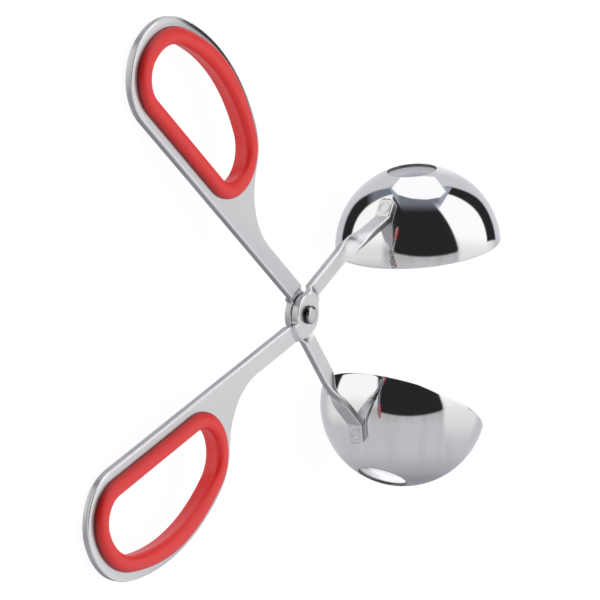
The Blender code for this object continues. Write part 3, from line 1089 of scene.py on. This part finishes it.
@dataclass(frozen=True)
class WeldMark(TurnedPiece):
    """Low ring that the electrode leaves round a spot weld."""

    segments: int = 48
    radius: float = 0.00145
    half_width: float = 0.0003
    height: float = 0.00008
    root: float = 0.00012
    points: int = 8

    def mesh(self, sweeper: SweptSection, material: bpy.types.Material) -> bpy.types.Mesh:
        """The ring about its own axis, its root below 0.

        Args:
            sweeper: The sweeping tree.
            material: The piece's finish.

        Returns:
            The closed mesh.
        """
        section = []
        for i in range(self.points + 1):
            across = polar(1.0, math.pi * i / self.points)
            section.append(Vector((self.radius + self.half_width * across.x, self.height * across.y)))
        section += [Vector((self.radius + side * self.half_width, -self.root)) for side in (-1, 1)]
        return self.turn(section, sweeper, material)


class RootedEdge:
    """A straight edge of an arm or handle, with a fillet to the pivot disc."""

    STEPS: ClassVar[int] = 8

    def __init__(self, disc_radius: float, turn: float, offset: float, side: int, fillet: float) -> None:
        """Work out where the edge leaves the disc.

        Args:
            disc_radius: Radius of the disc.
            turn: Direction of the edge.
            offset: Its distance from the hinge.
            side: 1 where the strip lies below the edge, -1 where it lies above.
            fillet: Radius of the fillet.
        """
        self.disc_radius = disc_radius
        self.turn = turn
        self.offset = offset
        self.side = side
        self.fillet = fillet
        self.reach = disc_radius + fillet
        aside = offset + side * fillet
        foot = math.sqrt(max(self.reach ** 2 - aside ** 2, 0))
        self.fillet_angle = math.atan2(aside, foot)
        self.straight_radius = math.hypot(foot, offset)

    def angle(self, radius: float) -> float:
        """Angle of the edge about the hinge, at a distance from it.

        Args:
            radius: The distance.

        Returns:
            The angle.
        """
        if radius >= self.straight_radius:
            return self.turn + math.asin(self.offset / radius)
        cosine = (radius ** 2 + self.reach ** 2 - self.fillet ** 2) / (2 * radius * self.reach)
        return self.turn + self.fillet_angle - self.side * math.acos(min(cosine, 1.0))

    def root_angle(self) -> float:
        """Angle at which the edge touches the disc."""
        return self.turn + self.fillet_angle

    def points(self, end_radius: float) -> list[Vector]:
        """Points from the disc out to a distance from the hinge, both left out.

        Args:
            end_radius: The distance to reach.

        Returns:
            The points in order.
        """
        limit = min(self.straight_radius, end_radius)
        shares = [(i / self.STEPS) ** 2 for i in range(1, self.STEPS + 1)]
        radii = [self.disc_radius + (limit - self.disc_radius) * share for share in shares]
        return [polar(radius, self.angle(radius)) for radius in radii if end_radius - radius > SAME_PLACE]


@dataclass
class StampedStrip:
    """One stamped half: finger loop, neck, pivot disc, arm with its twist, and the cup's pad.

    SLOTS gives the material slots that tell its kinds of face apart while it is made.
    """

    SLOTS: ClassVar[dict[str, int]] = {ROLLED_EDGE: 1, SHEARED_SIDE: 2, CROWNED_RIM: 3}
    opening: FingerOpening = field(default_factory=FingerOpening)
    thickness: float = 0.0019
    edge_rounding: float = 0.0004
    edge_segments: int = 4
    back_rounding_share: float = 0.4
    fit_gap: float = 0.0003
    disc_radius: float = 0.0052
    bore_radius: float = 0.0018
    joggle_length: float = 0.0018
    joggle_delay: float = 1.25
    handle_joggle_radius: float = 0.0062
    handle_root_fillet: float = 0.0006
    loop_outer_offset: float = 0.0064
    steel_edge_offset: float = 0.0017
    crown_width: float = 0.0013
    crown_drop: float = 0.00028
    crown_start: float = 0.33
    crown_fade: float = 0.22
    neck_flare_distance: float = 0.0251
    flare_points: int = 32
    arm_angle: float = math.radians(17.5)
    arm_width: float = 0.0043
    arm_inner_offset: float = 0.0003
    arm_joggle_radius: float = 0.0058
    arm_root_fillet: float = 0.0015
    arm_reach: float = 0.0275
    arm_bend_radius: float = 0.025
    twist_start: float = 0.0205
    twist_length: float = 0.0165
    pad_elevation: float = math.radians(41.4)
    pad_length: float = 0.0056
    pad_side_offset: float = 0.0012
    pad_bend_radius: float = 0.0015
    pad_corner_radius: float = 0.001
    corner_steps: int = 5
    pad_gap: float = 0.00005
    station_spacing: float = 0.0005
    width_steps: int = 6
    joggle_steps: int = 10
    bend_steps: int = 10
    bore_points: int = 64
    disc_points: int = 40

    def disc_lift(self) -> float:
        """Height of the disc's middle surface over the half's middle plane."""
        return (self.thickness + self.fit_gap) / 2

    def arm_edges(self) -> tuple[RootedEdge, RootedEdge]:
        """Inner and outer edges of the arm.

        Returns:
            The inner edge and the outer one.
        """
        inner, fillet = self.arm_inner_offset, self.arm_root_fillet
        return (RootedEdge(self.disc_radius, self.arm_angle, inner, -1, fillet),
                RootedEdge(self.disc_radius, self.arm_angle, inner + self.arm_width, 1, fillet))

    def handle_edges(self) -> tuple[RootedEdge, RootedEdge]:
        """Inner and outer edges of the handle.

        Returns:
            The inner edge and the outer one.
        """
        turn, inner = self.opening.handle_turn, self.opening.inner_offset - self.loop_outer_offset
        return (RootedEdge(self.disc_radius, turn, inner, -1, self.handle_root_fillet),
                RootedEdge(self.disc_radius, turn, self.disc_radius, 1, 0.0))

    def neck_flare(self) -> tuple[list[Vector], float]:
        """Concave flank between the handle's straight outer edge and the loop.

        Returns:
            Its points from the loop inwards, and the angle on the front corner where it starts.
        """
        corner = self.opening.front_corner()
        loop_radius = self.opening.front_radius + self.loop_outer_offset
        gap = corner - Vector((self.neck_flare_distance, self.disc_radius))
        flare = (gap.length_squared - loop_radius ** 2) / (2 * (gap.y + loop_radius))
        centre = Vector((self.neck_flare_distance, self.disc_radius + flare))
        toward = corner - centre
        meeting = math.atan2(toward.y, toward.x)
        return arc(centre, flare, -QUARTER_TURN, meeting, self.flare_points)[::-1], meeting + math.pi

    def pad_line(self, cup: PressedCup) -> tuple[Vector, Vector]:
        """Start and end of the pad on the middle surface.

        Args:
            cup: The cup that the pad lies on.

        Returns:
            The two points, as seen along the hinge axis.
        """
        outward = Vector((-math.cos(self.pad_elevation), math.sin(self.pad_elevation)))
        uphill = Vector((math.sin(self.pad_elevation), math.cos(self.pad_elevation)))
        lift = cup.ball_radius() + self.pad_gap + self.thickness / 2
        middle = Vector((cup.pivot_distance, cup.rim_gap / 2 - cup.setback())) + outward * lift
        return middle - uphill * self.pad_length / 2, middle + uphill * self.pad_length / 2

    def weld_place(self, cup: PressedCup) -> Matrix:
        """Place of the spot weld on the pad's outer side.

        Args:
            cup: The cup that the pad lies on.

        Returns:
            Its frame in the half's, +z away from the cup.
        """
        start, end = self.pad_line(cup)
        along = (end - start).normalized()
        outward = Vector((-along.y, along.x, 0.0))
        middle = (start + end) / 2
        foot = Vector((middle.x, middle.y, self.pad_side_offset)) + outward * self.thickness / 2
        return Matrix.Translation(foot) @ outward.to_track_quat("Z", "Y").to_matrix().to_4x4()

    def _stations(self, start: Vector, end: Vector) -> list[Vector]:
        """Evenly spaced points of a straight run, without its last."""
        count = max(round((end - start).length / self.station_spacing), 1)
        return [start.lerp(end, i / count) for i in range(count)]

    def arm_path(self, cup: PressedCup) -> list[tuple[Vector, float, float]]:
        """Stations along the arm: place, direction angle and distance run from the hinge.

        Args:
            cup: The cup that the pad lies on.

        Returns:
            The stations in order.
        """
        middle = self.arm_inner_offset + self.arm_width / 2
        first = self.arm_joggle_radius + self.joggle_length + self.station_spacing
        pad_start, pad_end = self.pad_line(cup)
        corners = [turned((first, middle), self.arm_angle), turned((self.arm_reach, middle), self.arm_angle),
                   pad_start, pad_end]
        stations: list[tuple[Vector, float]] = []
        here = corners[0]
        bend_radii = (self.arm_bend_radius, self.pad_bend_radius)
        for corner, after, radius in zip(corners[1:], corners[2:], bend_radii):
            before, following = (corner - here).normalized(), (after - corner).normalized()
            angle = math.atan2(before.y, before.x)
            bend = -before.angle_signed(following)
            setback = abs(radius * math.tan(bend / 2))
            bend_start = corner - before * setback
            stations += [(place, angle) for place in self._stations(here, bend_start)]
            centre = bend_start + Vector((-before.y, before.x)) * radius * math.copysign(1, bend)
            for i in range(self.bend_steps):
                turn = bend * i / self.bend_steps
                stations.append((centre + turned(bend_start - centre, turn), angle + turn))
            here = corner + following * setback
        last = corners[-1] - corners[-2]
        last_angle = math.atan2(last.y, last.x)
        corner_start = corners[-1] - last.normalized() * self.pad_corner_radius
        stations += [(place, last_angle) for place in self._stations(here, corner_start)]
        for i in range(self.corner_steps + 1):
            share = math.sin(QUARTER_TURN * i / self.corner_steps)
            stations.append((corner_start.lerp(corners[-1], share), last_angle))
        runs = [first]
        for (previous, _), (place, _) in zip(stations, stations[1:]):
            runs.append(runs[-1] + (place - previous).length)
        return [(place, angle, run) for (place, angle), run in zip(stations, runs)]

    def arm_rows(self, cup: PressedCup) -> list[tuple[list[Vector], Vector]]:
        """Rows of points across the arm along twist and pad, each with the direction of its thickness.

        Args:
            cup: The cup that the pad lies on.

        Returns:
            The rows in order.
        """
        rows = []
        path = self.arm_path(cup)
        for place, angle, run in path:
            blend = smooth_step((run - self.twist_start) / self.twist_length)
            twist = QUARTER_TURN * blend
            centre = Vector((place.x, place.y, self.pad_side_offset * blend))
            left = Vector((-math.sin(angle), math.cos(angle), 0))
            width = left * math.cos(twist) - UPWARDS * math.sin(twist)
            into_corner = max(self.pad_corner_radius - (path[-1][2] - run), 0.0)
            narrowing = self.pad_corner_radius - math.sqrt(self.pad_corner_radius ** 2 - into_corner ** 2)
            full = self.arm_width - 2 * narrowing
            shares = [i / self.width_steps - 0.5 for i in range(self.width_steps + 1)]
            thickness = UPWARDS * math.cos(twist) + left * math.sin(twist)
            rows.append(([centre + width * full * share for share in shares], thickness))
        return rows

    def _row(self, sheet: bmesh.types.BMesh, points: Iterable[Vector], height: float = 0.0) -> list:
        """Vertices at the points."""
        return [sheet.verts.new(p if len(p) == 3 else (p[0], p[1], height)) for p in points]

    def _ring_faces(self, sheet: bmesh.types.BMesh, outer: list, inner: list, cuts: Sequence[tuple]) -> None:
        """Two flat faces between an outer and an inner ring, split at two pairs of indices.

        Args:
            sheet: The middle surface, which gets them.
            outer: Vertices of the outer ring in order.
            inner: Those of the inner ring.
            cuts: The indices on both rings at each split.
        """
        def run_of(ring: list, start: int, end: int) -> list:
            """Part of a closed ring, from one index on to another."""
            return [ring[(start + i) % len(ring)] for i in range((end - start) % len(ring) + 1)]

        for (outer_start, inner_start), (outer_end, inner_end) in (cuts, cuts[::-1]):
            back = run_of(inner, inner_start, inner_end)[::-1]
            sheet.faces.new(run_of(outer, outer_start, outer_end) + back)

    def _joggle(self, sheet: bmesh.types.BMesh, edges: tuple[RootedEdge, RootedEdge],
                start: float) -> list:
        """Rows down the step from the disc's level to the arm's or handle's, settling late.

        Args:
            sheet: The middle surface, which gets them.
            edges: The strip's two edges.
            start: Distance from the hinge at which the step starts.

        Returns:
            The vertices of each row, from the disc outwards.
        """
        rows = []
        for i in range(self.joggle_steps + 1):
            share = i / self.joggle_steps
            radius = start + self.joggle_length * share
            low, high = (edge.angle(radius) for edge in edges)
            points = [polar(radius, low + (high - low) * j / self.width_steps)
                      for j in range(self.width_steps + 1)]
            height = self.disc_lift() * (1 - smooth_step(share ** self.joggle_delay))
            rows.append(self._row(sheet, points, height))
        return rows

    def _loop(self, sheet: bmesh.types.BMesh, handle_end: list, drops: dict) -> None:
        """Face of neck and finger loop, with a crowned rim that thins towards its edge.

        Args:
            sheet: The middle surface, which gets them.
            handle_end: Vertices of the handle's last row.
            drops: Filled with how much lower the well rounded side lies at the rim's vertices.
        """
        flank, meeting = self.neck_flare()
        outline = self.opening.outline(self.loop_outer_offset, meeting)
        crown_line = self.opening.outline(self.loop_outer_offset - self.crown_width, meeting)
        inner_side = self.opening.inner_offset - self.loop_outer_offset
        front = Vector((self.opening.front_distance, inner_side))
        turn = self.opening.handle_turn
        rim = self._row(sheet, [turned(point, turn) for point in outline])
        crown = self._row(sheet, [turned(point, turn) for point in crown_line])
        ends = self._row(sheet, [turned(point, turn) for point in [front] + flank[1:]])
        sheet.faces.new((ends[0], rim[0], crown[0]))
        sheet.faces.new((rim[-1], ends[1], crown[-1]))
        for vertices in zip(rim, rim[1:], crown[1:], crown):
            sheet.faces.new(vertices).material_index = self.SLOTS[CROWNED_RIM]
        for i, vertex in enumerate(rim):
            share = i / len(rim)
            rise = smooth_step((share - self.crown_start) / self.crown_fade)
            drops[vertex] = self.crown_drop * rise * smooth_step((1 - share) / self.crown_fade)
        edge = ends[:1] + crown + ends[1:]
        steel_edge = self.opening.outline(self.steel_edge_offset)
        inner = self._row(sheet, [turned(point, turn) for point in steel_edge])
        middle = 2 * self.opening.corner_points + self.opening.arc_points // 2
        cuts = ((0, len(inner) - 1), (middle + 1, middle))
        self._ring_faces(sheet, edge + handle_end[::-1], inner, cuts)

    def _disc(self, sheet: bmesh.types.BMesh, handle_start: list, arm_start: list) -> None:
        """Flat face of the pivot disc with its bore.

        Args:
            sheet: The middle surface, which gets them.
            handle_start: Vertices of the handle's first row.
            arm_start: Those of the arm's first row.
        """
        (handle_low, handle_high), (arm_low, arm_high) = self.handle_edges(), self.arm_edges()
        lift, count = self.disc_lift(), self.disc_points
        right = arc((0, 0), self.disc_radius, handle_high.root_angle(), arm_low.root_angle(), count)
        left = arc((0, 0), self.disc_radius, arm_high.root_angle(), handle_low.root_angle(), count)
        right += arm_low.points(self.arm_joggle_radius)
        left = arm_high.points(self.arm_joggle_radius)[::-1] + left
        left += handle_low.points(self.handle_joggle_radius)
        outer = handle_start + self._row(sheet, right, lift) + arm_start + self._row(sheet, left, lift)
        bore = self._row(sheet, [polar(self.bore_radius, FULL_TURN * i / self.bore_points)
                                 for i in range(self.bore_points)], lift)
        cuts = []
        for row in (handle_start, arm_start):
            vertex = row[self.width_steps // 2]
            share = math.atan2(vertex.co.y, vertex.co.x) / FULL_TURN
            cuts.append((outer.index(vertex), round(share * self.bore_points) % self.bore_points))
        self._ring_faces(sheet, outer, bore, cuts)

    def mesh(self, cup: PressedCup, facing: int) -> bpy.types.Mesh:
        """The stamping in a half's frame, with its thickness and its rolled edges.

        Args:
            cup: The cup that the pad lies on.
            facing: 1 where its well rounded side is above, -1 where it is below.

        Returns:
            The mesh.
        """
        sheet = bmesh.new()
        handle = self._joggle(sheet, self.handle_edges(), self.handle_joggle_radius)
        arm = self._joggle(sheet, self.arm_edges(), self.arm_joggle_radius)
        self._disc(sheet, handle[0], arm[0])
        lean, drops = {}, {}
        self._loop(sheet, handle[-1], drops)
        for points, direction in self.arm_rows(cup):
            arm.append(self._row(sheet, points))
            lean.update((vertex, direction) for vertex in arm[-1])
        for rows in (handle, arm):
            for first, second in zip(rows, rows[1:]):
                for i in range(self.width_steps):
                    sheet.faces.new((first[i], second[i], second[i + 1], first[i + 1]))
        blank = new_object("strip_blank", self._thickened(sheet, lean, drops, facing))
        bevel = blank.modifiers.new("rolled_edges", "BEVEL")
        bevel.width = self.edge_rounding
        bevel.segments = self.edge_segments
        bevel.use_clamp_overlap = False
        bevel.loop_slide = False
        bevel.limit_method = "WEIGHT"
        bevel.harden_normals = True
        bevel.material = self.SLOTS[ROLLED_EDGE]
        mesh = applied(blank)
        bpy.data.objects.remove(blank, do_unlink=True)
        return self._with_edges_noted(mesh)

    def _thickened(self, sheet: bmesh.types.BMesh, lean: dict, drops: dict, facing: int) -> bpy.types.Mesh:
        """Closed blank round the middle surface.

        Args:
            sheet: The middle surface, which is used up.
            lean: The direction of the thickness at vertices where it isn't straight up.
            drops: How much lower the well rounded side lies at some vertices.
            facing: 1 where that side is above, -1 where it is below.

        Returns:
            The blank, with the share of the full rounding on its edges.
        """
        weights = sheet.edges.layers.float.new("bevel_weight_edge")
        far = {}
        faces = [(list(face.verts), face.material_index) for face in sheet.faces]
        borders = [edge for edge in sheet.edges if edge.is_boundary]
        for vertex in list(sheet.verts):
            direction, half = lean.get(vertex, UPWARDS), self.thickness / 2
            lowered = half - drops.get(vertex, 0.0)
            above, below = (lowered, half) if facing > 0 else (half, lowered)
            far[vertex] = sheet.verts.new(vertex.co - direction * below)
            vertex.co += direction * above
        for vertices, slot in faces:
            sheet.faces.new([far[vertex] for vertex in reversed(vertices)]).material_index = slot
        near_share, far_share = (1.0, self.back_rounding_share)[::facing]
        for border in borders:
            first, second = border.verts
            side = sheet.faces.new((first, second, far[second], far[first]))
            side.material_index = self.SLOTS[SHEARED_SIDE]
            border[weights] = near_share
            sheet.edges.get((far[first], far[second]))[weights] = far_share
        bmesh.ops.recalc_face_normals(sheet, faces=sheet.faces)
        blank = bpy.data.meshes.new("strip_blank")
        sheet.to_mesh(blank)
        sheet.free()
        blank.shade_smooth()
        for _ in range(len(self.SLOTS) + 1):
            blank.materials.append(None)
        return blank

    def _with_edges_noted(self, mesh: bpy.types.Mesh) -> bpy.types.Mesh:
        """Turn the material slots into numbers on the faces.

        Args:
            mesh: The rolled stamping, which is changed.

        Returns:
            The same mesh.
        """
        slots = [face.material_index for face in mesh.polygons]
        for name, slot in self.SLOTS.items():
            note = mesh.attributes.new(name, "FLOAT", "FACE")
            note.data.foreach_set("value", [float(each == slot) for each in slots])
        mesh.polygons.foreach_set("material_index", [0] * len(mesh.polygons))
        return mesh


# Studio


@dataclass(frozen=True)
class Camera:
    """The photograph's viewpoint: a long lens, the camera turned on its side."""

    location: Vector = Vector((-0.60314, -0.0011, 0.26641))
    right: Vector = Vector((0.38279, 0.0955, 0.91889))
    up: Vector = Vector((-0.04321, 0.9954, -0.08545))
    backward: Vector = Vector((-0.92283, -0.007, 0.38515))
    focal_length: float = 156.0
    sensor_width: float = 36.0

    def build(self) -> None:
        """Add the camera and make it the scene's."""
        data = bpy.data.cameras.new("camera")
        data.lens = self.focal_length
        data.sensor_width = self.sensor_width
        camera = new_object("camera", data)
        axes = Matrix((self.right, self.up, self.backward)).transposed()
        camera.matrix_world = Matrix.Translation(self.location) @ axes.to_4x4()
        bpy.context.scene.camera = camera


@dataclass(frozen=True)
class Surroundings:
    """Light panels and dark cards round the tongs, as the polished cups show them.

    They are laid out over a disc: a place on it is the part of a ball that mirrors that direction to
    the camera, so x and y run to the right and up as on a cup in the photograph, and 1 is its edge.
    In the masks the numbers are places on that disc and the softness of borders there.
    """

    camera: Camera
    cups_middle: Vector = Vector((0.0604, 0.0, 0.0225))
    cup_reflectance: float = 0.68

    def tone(self, red: int, green: int, blue: int) -> Colour:
        """Brightness that a cup shows as a screen colour."""
        return tuple(value / self.cup_reflectance for value in linear(red, green, blue))

    def disc_place(self, sheet: ShaderSheet) -> tuple[Field, Field, Field]:
        """Place on the disc of the direction that is looked at.

        Args:
            sheet: The world's tree.

        Returns:
            x, y and the distance from the disc's middle.
        """
        toward = (self.camera.location - self.cups_middle).normalized()
        right = (self.camera.right - toward * self.camera.right.dot(toward)).normalized()
        up = toward.cross(right)
        direction = sheet.node("ShaderNodeTexCoord").outputs["Generated"]
        half_way = sheet.vector_math("ADD", direction, toward).outputs["Vector"]
        unit = sheet.vector_math("NORMALIZE", half_way).outputs["Vector"]
        x, y = (Field(sheet.tree, sheet.vector_math("DOT_PRODUCT", unit, axis).outputs["Value"])
                for axis in (right, up))
        return x, y, (x * x + y * y).math("SQRT")

    def greys(self, sheet: ShaderSheet, x: Field, y: Field, r: Field) -> list[tuple[Field, Colour]]:
        """Soft greys of the room and the table, below and round the panels.

        Args:
            sheet: The world's tree.
            x: Place to the right on the disc.
            y: Place upwards on it.
            r: Distance from its middle.

        Returns:
            Mask and brightness of each, from back to front.
        """
        bands = sheet.noise(sheet.flat_place(x * 9.0, y), 1.0, 3.0).above(0.5, 0.16) * 0.4
        ring = r.above(0.9, 0.05)
        return [
            (y.above(-0.2, 0.06), self.tone(170, 167, 167)),
            (bands * y.below(-0.12, 0.03), self.tone(197, 196, 200)),
            (x.above(0.485, 0.03) * y.above(-0.33, 0.25), self.tone(224, 223, 222)),
            (x.below(-0.42, 0.04) * y.above(-0.22, 0.1), self.tone(218, 217, 215)),
            (y.above(0.3, 0.1), self.tone(196, 196, 200)),
            (ring * y.above(-0.6, 0.1), self.tone(184, 183, 189)),
            (y.below(-0.7, 0.16), self.tone(158, 157, 163)),
            (y.below(-0.86, 0.06), self.tone(136, 135, 141)),
            (ring * y.above(0.1, 0.1) * x.above(-0.85, 0.2), self.tone(196, 196, 201)),
            (ring * y.above(0.86, 0.06) * x.above(0.0, 0.1), self.tone(216, 217, 221)),
        ]

    @staticmethod
    def from_lamp(x: Field) -> Field:
        """Distance to the side of the lamp's upright axis."""
        return (x - 0.01).math("ABSOLUTE")

    def octagon(self, x: Field, y: Field) -> Field:
        """The lamp's eight-sided panel, tilted a little.

        Args:
            x: Place to the right on the disc.
            y: Place upwards on it.

        Returns:
            Its mask.
        """
        from_axis, rise = self.from_lamp(x), y + x * 0.07 - 0.668
        fall = rise * -1.0
        mask = rise.below(0.17, 0.01) * fall.below(0.115, 0.01)
        corners = ((rise, 0.79, 0.32, 0.01), (rise, 1.64, 0.49, 0.012), (fall, 0.9, 0.32, 0.01),
                   (fall, 4.0, 0.555, 0.02))
        for height, slope, limit, softness in corners:
            mask = mask * (from_axis + height * slope).below(limit, softness)
        return mask

    def cards(self, x: Field, y: Field, r: Field) -> list[tuple[Field, Colour]]:
        """Light panels, the dark arcs round them, the dark block between them and the lamp's octagon.

        Args:
            x: Place to the right on the disc.
            y: Place upwards on it.
            r: Distance from its middle.

        Returns:
            Mask and brightness of each, from back to front.
        """
        black, blue_grey = self.tone(37, 37, 39), self.tone(110, 115, 125)
        inward = (x.math("ABSOLUTE") * -1.0 + 0.74).math("SMOOTH_MAX", 0.0, 0.15)
        left_inner, left_outer = r + inward * 0.27, r + inward * 0.38
        right_inner, right_outer = r + inward * 0.3, r + inward * 0.36
        left, right = x.below(-0.3, 0.02), x.above(0.33, 0.02)
        left_arc = left_inner.above(0.805, 0.01) * left_outer.below(0.918, 0.012)
        left_arc = left_arc * left * y.above(0.085, 0.015)
        right_end = (y - x * 0.4).above(-0.263, 0.012)
        right_arc = right_inner.above(0.825, 0.008) * right_outer.below(0.93, 0.01)
        right_arc = right_arc * right * right_end
        panels = y.above(0.03, 0.12)
        from_middle = x - 0.07
        sides = (x + 0.3).math("SMOOTH_MIN", x * -1.0 - y * 0.25 - y * y * 0.65 + 0.468, 0.06)
        inside = sides.math("SMOOTH_MIN", y - from_middle * from_middle * 0.4 + 0.14, 0.06)
        block = inside.above(0.0, 0.014) * y.below(0.6, 0.02)
        gap = (x - y * 0.59).below(-0.014, 0.01) * (x + y * 0.53).above(0.029, 0.01)
        gap = gap * y.below(0.7, 0.02) * y.above(0.455, 0.075)
        return [
            (left_inner.below(0.805, 0.01) * x.below(0.0, 0.05) * panels, self.tone(245, 245, 242)),
            (right_inner.below(0.825, 0.01) * x.above(0.0, 0.05) * panels, self.tone(251, 251, 250)),
            (left_arc, black),
            (left_arc * x.above(-0.56, 0.06), blue_grey),
            (right_arc, black),
            (block, black),
            (gap, blue_grey),
            (gap * self.from_lamp(x).above(0.24, 0.03), self.tone(150, 156, 168)),
            (self.octagon(x, y), self.tone(251, 250, 251)),
        ]

    def build(self) -> None:
        """Make the world: white behind the tongs, the surroundings for all that they reflect."""
        world = bpy.data.worlds.new("studio")
        world.use_nodes = True
        sheet = ShaderSheet(world.node_tree)
        x, y, r = self.disc_place(sheet)
        colour: Colour | bpy.types.NodeSocket = self.tone(182, 181, 185)
        for mask, tone in self.greys(sheet, x, y, r) + self.cards(x, y, r):
            colour = sheet.between(mask, colour, tone)
        sheet.link(sheet.between(sheet.seen_directly(), colour, (1.0, 1.0, 1.0)),
                   world.node_tree.nodes["Background"].inputs["Color"])
        bpy.context.scene.world = world


@dataclass(frozen=True)
class Studio:
    """Floor, lamp, surroundings and camera."""

    camera: Camera = field(default_factory=Camera)
    floor_size: float = 3.0
    floor_colour: Colour = (0.9, 0.9, 0.9)
    floor_roughness: float = 0.9
    floor_glow: float = 0.86
    glow_strength: float = 1.08
    lamp_power: float = 1.2
    lamp_size: float = 0.7
    lamp_place: Vector = Vector((-0.35, 0.3, 0.8))

    def floor(self) -> None:
        """White table top that keeps the tongs' shadow, and that the metal doesn't mirror."""
        material = bpy.data.materials.new("table_white")
        material.use_nodes = True
        sheet = ShaderSheet(material.node_tree)
        shader = material.node_tree.nodes["Principled BSDF"]
        shader.inputs["Base Color"].default_value = (*self.floor_colour, 1.0)
        shader.inputs["Roughness"].default_value = self.floor_roughness
        glow = sheet.node("ShaderNodeEmission")
        glow.inputs["Strength"].default_value = self.glow_strength
        mix = sheet.node("ShaderNodeMixShader")
        sheet.link((sheet.seen_directly() * self.floor_glow).socket, mix.inputs["Fac"])
        sheet.link(shader.outputs["BSDF"], mix.inputs[1])
        sheet.link(glow.outputs["Emission"], mix.inputs[2])
        sheet.link(mix.outputs["Shader"], material.node_tree.nodes["Material Output"].inputs["Surface"])
        half = self.floor_size / 2
        mesh = bpy.data.meshes.new("table")
        corners = [(-half, -half, 0), (half, -half, 0), (half, half, 0), (-half, half, 0)]
        mesh.from_pydata(corners, [], [(0, 1, 2, 3)])
        mesh.materials.append(material)
        floor = new_object("table", mesh)
        floor.visible_glossy = False
        floor.visible_diffuse = False

    def lamp(self) -> None:
        """Large soft lamp over the tongs."""
        data = bpy.data.lights.new("soft_lamp", "AREA")
        data.energy = self.lamp_power
        data.size = self.lamp_size
        lamp = new_object("soft_lamp", data)
        lamp.location = self.lamp_place
        lamp.rotation_euler = self.lamp_place.to_track_quat("Z", "Y").to_euler()
        lamp.visible_glossy = False

    def build(self) -> None:
        """Set up the whole studio."""
        self.camera.build()
        Surroundings(self.camera).build()
        self.floor()
        self.lamp()
        bpy.context.scene.view_settings.view_transform = "Standard"


@dataclass
class Tongs:
    """The whole object."""

    crossing: Crossing
    cup: PressedCup = field(default_factory=PressedCup)
    strip: StampedStrip = field(default_factory=StampedStrip)
    grip: LoopGrip = field(default_factory=LoopGrip)
    rivet: PivotRivet = field(default_factory=PivotRivet)
    weld: WeldMark = field(default_factory=WeldMark)
    satin: Colour = (0.62, 0.62, 0.64)
    satin_roughness: float = 0.3
    worn: Colour = (0.5, 0.5, 0.51)
    worn_roughness: float = 0.16
    polish: Colour = (0.70, 0.70, 0.71)
    polish_roughness: float = 0.05
    red: Colour = linear(241, 43, 41)
    red_roughness: float = 0.4

    def polished(self, name: str, cup_frame: Matrix) -> bpy.types.Material:
        """Finish of a cup that stands in a frame.

        Args:
            name: Name of the material.
            cup_frame: The cup's frame.

        Returns:
            The material.
        """
        finish = PolishedSteel(
            name, self.polish, self.polish_roughness, 1.0, cup_frame,
            vent_radius=self.cup.vent_diameter / 2 + self.cup.edge_rounding,
            inside_radius=self.cup.ball_radius() - self.cup.wall / 2, setback=self.cup.setback())
        return finish.material()

    def build(self) -> None:
        """Make and dress every piece."""
        sweeper = SweptSection()
        hinge = self.crossing.half_frame(Half.FRONT)
        satin = SatinSteel("satin_steel", self.satin, self.satin_roughness, 1.0, hinge).material()
        plastic = MouldedPlastic("red_plastic", self.red, self.red_roughness).material()
        pin = SatinSteel("rivet_steel", self.worn, self.worn_roughness, 1.0, hinge).material()
        cup, weld = self.cup.mesh(sweeper, satin), self.weld.mesh(sweeper, satin)
        for half, names in ((Half.FRONT, ("front_strip", "upper_cup", "lower_grip")),
                            (Half.BACK, ("back_strip", "lower_cup", "upper_grip"))):
            matrix = self.crossing.half_frame(half)
            facing = 1 if half is Half.FRONT else -1
            strip, grip = self.strip.mesh(self.cup, facing), self.grip.mesh(facing, sweeper, plastic)
            cup_frame = matrix @ self.cup.place()
            polish = self.polished(f"polished_{names[1]}", cup_frame)
            dress(f"{names[0]}_fine", strip, matrix, satin, half, names[0])
            place = matrix @ self.strip.weld_place(self.cup)
            dress(f"{names[1]}_weld_fine", weld, place, satin, half, None)
            dress(f"{names[1]}_fine", cup, cup_frame, polish, half, names[1])
            dress(f"{names[2]}_fine", grip, matrix, plastic, half, names[2])
        rivet = self.rivet.mesh(sweeper, pin)
        dress("pivot_rivet_fine", rivet, hinge, pin, Half.FRONT, "pivot_rivet")


def main() -> None:
    """Dress the tongs and set up the studio."""
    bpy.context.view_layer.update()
    Tongs(Crossing.from_frame(frame["record"])).build()
    Studio().build()


if __name__ == "__main__":
    main()
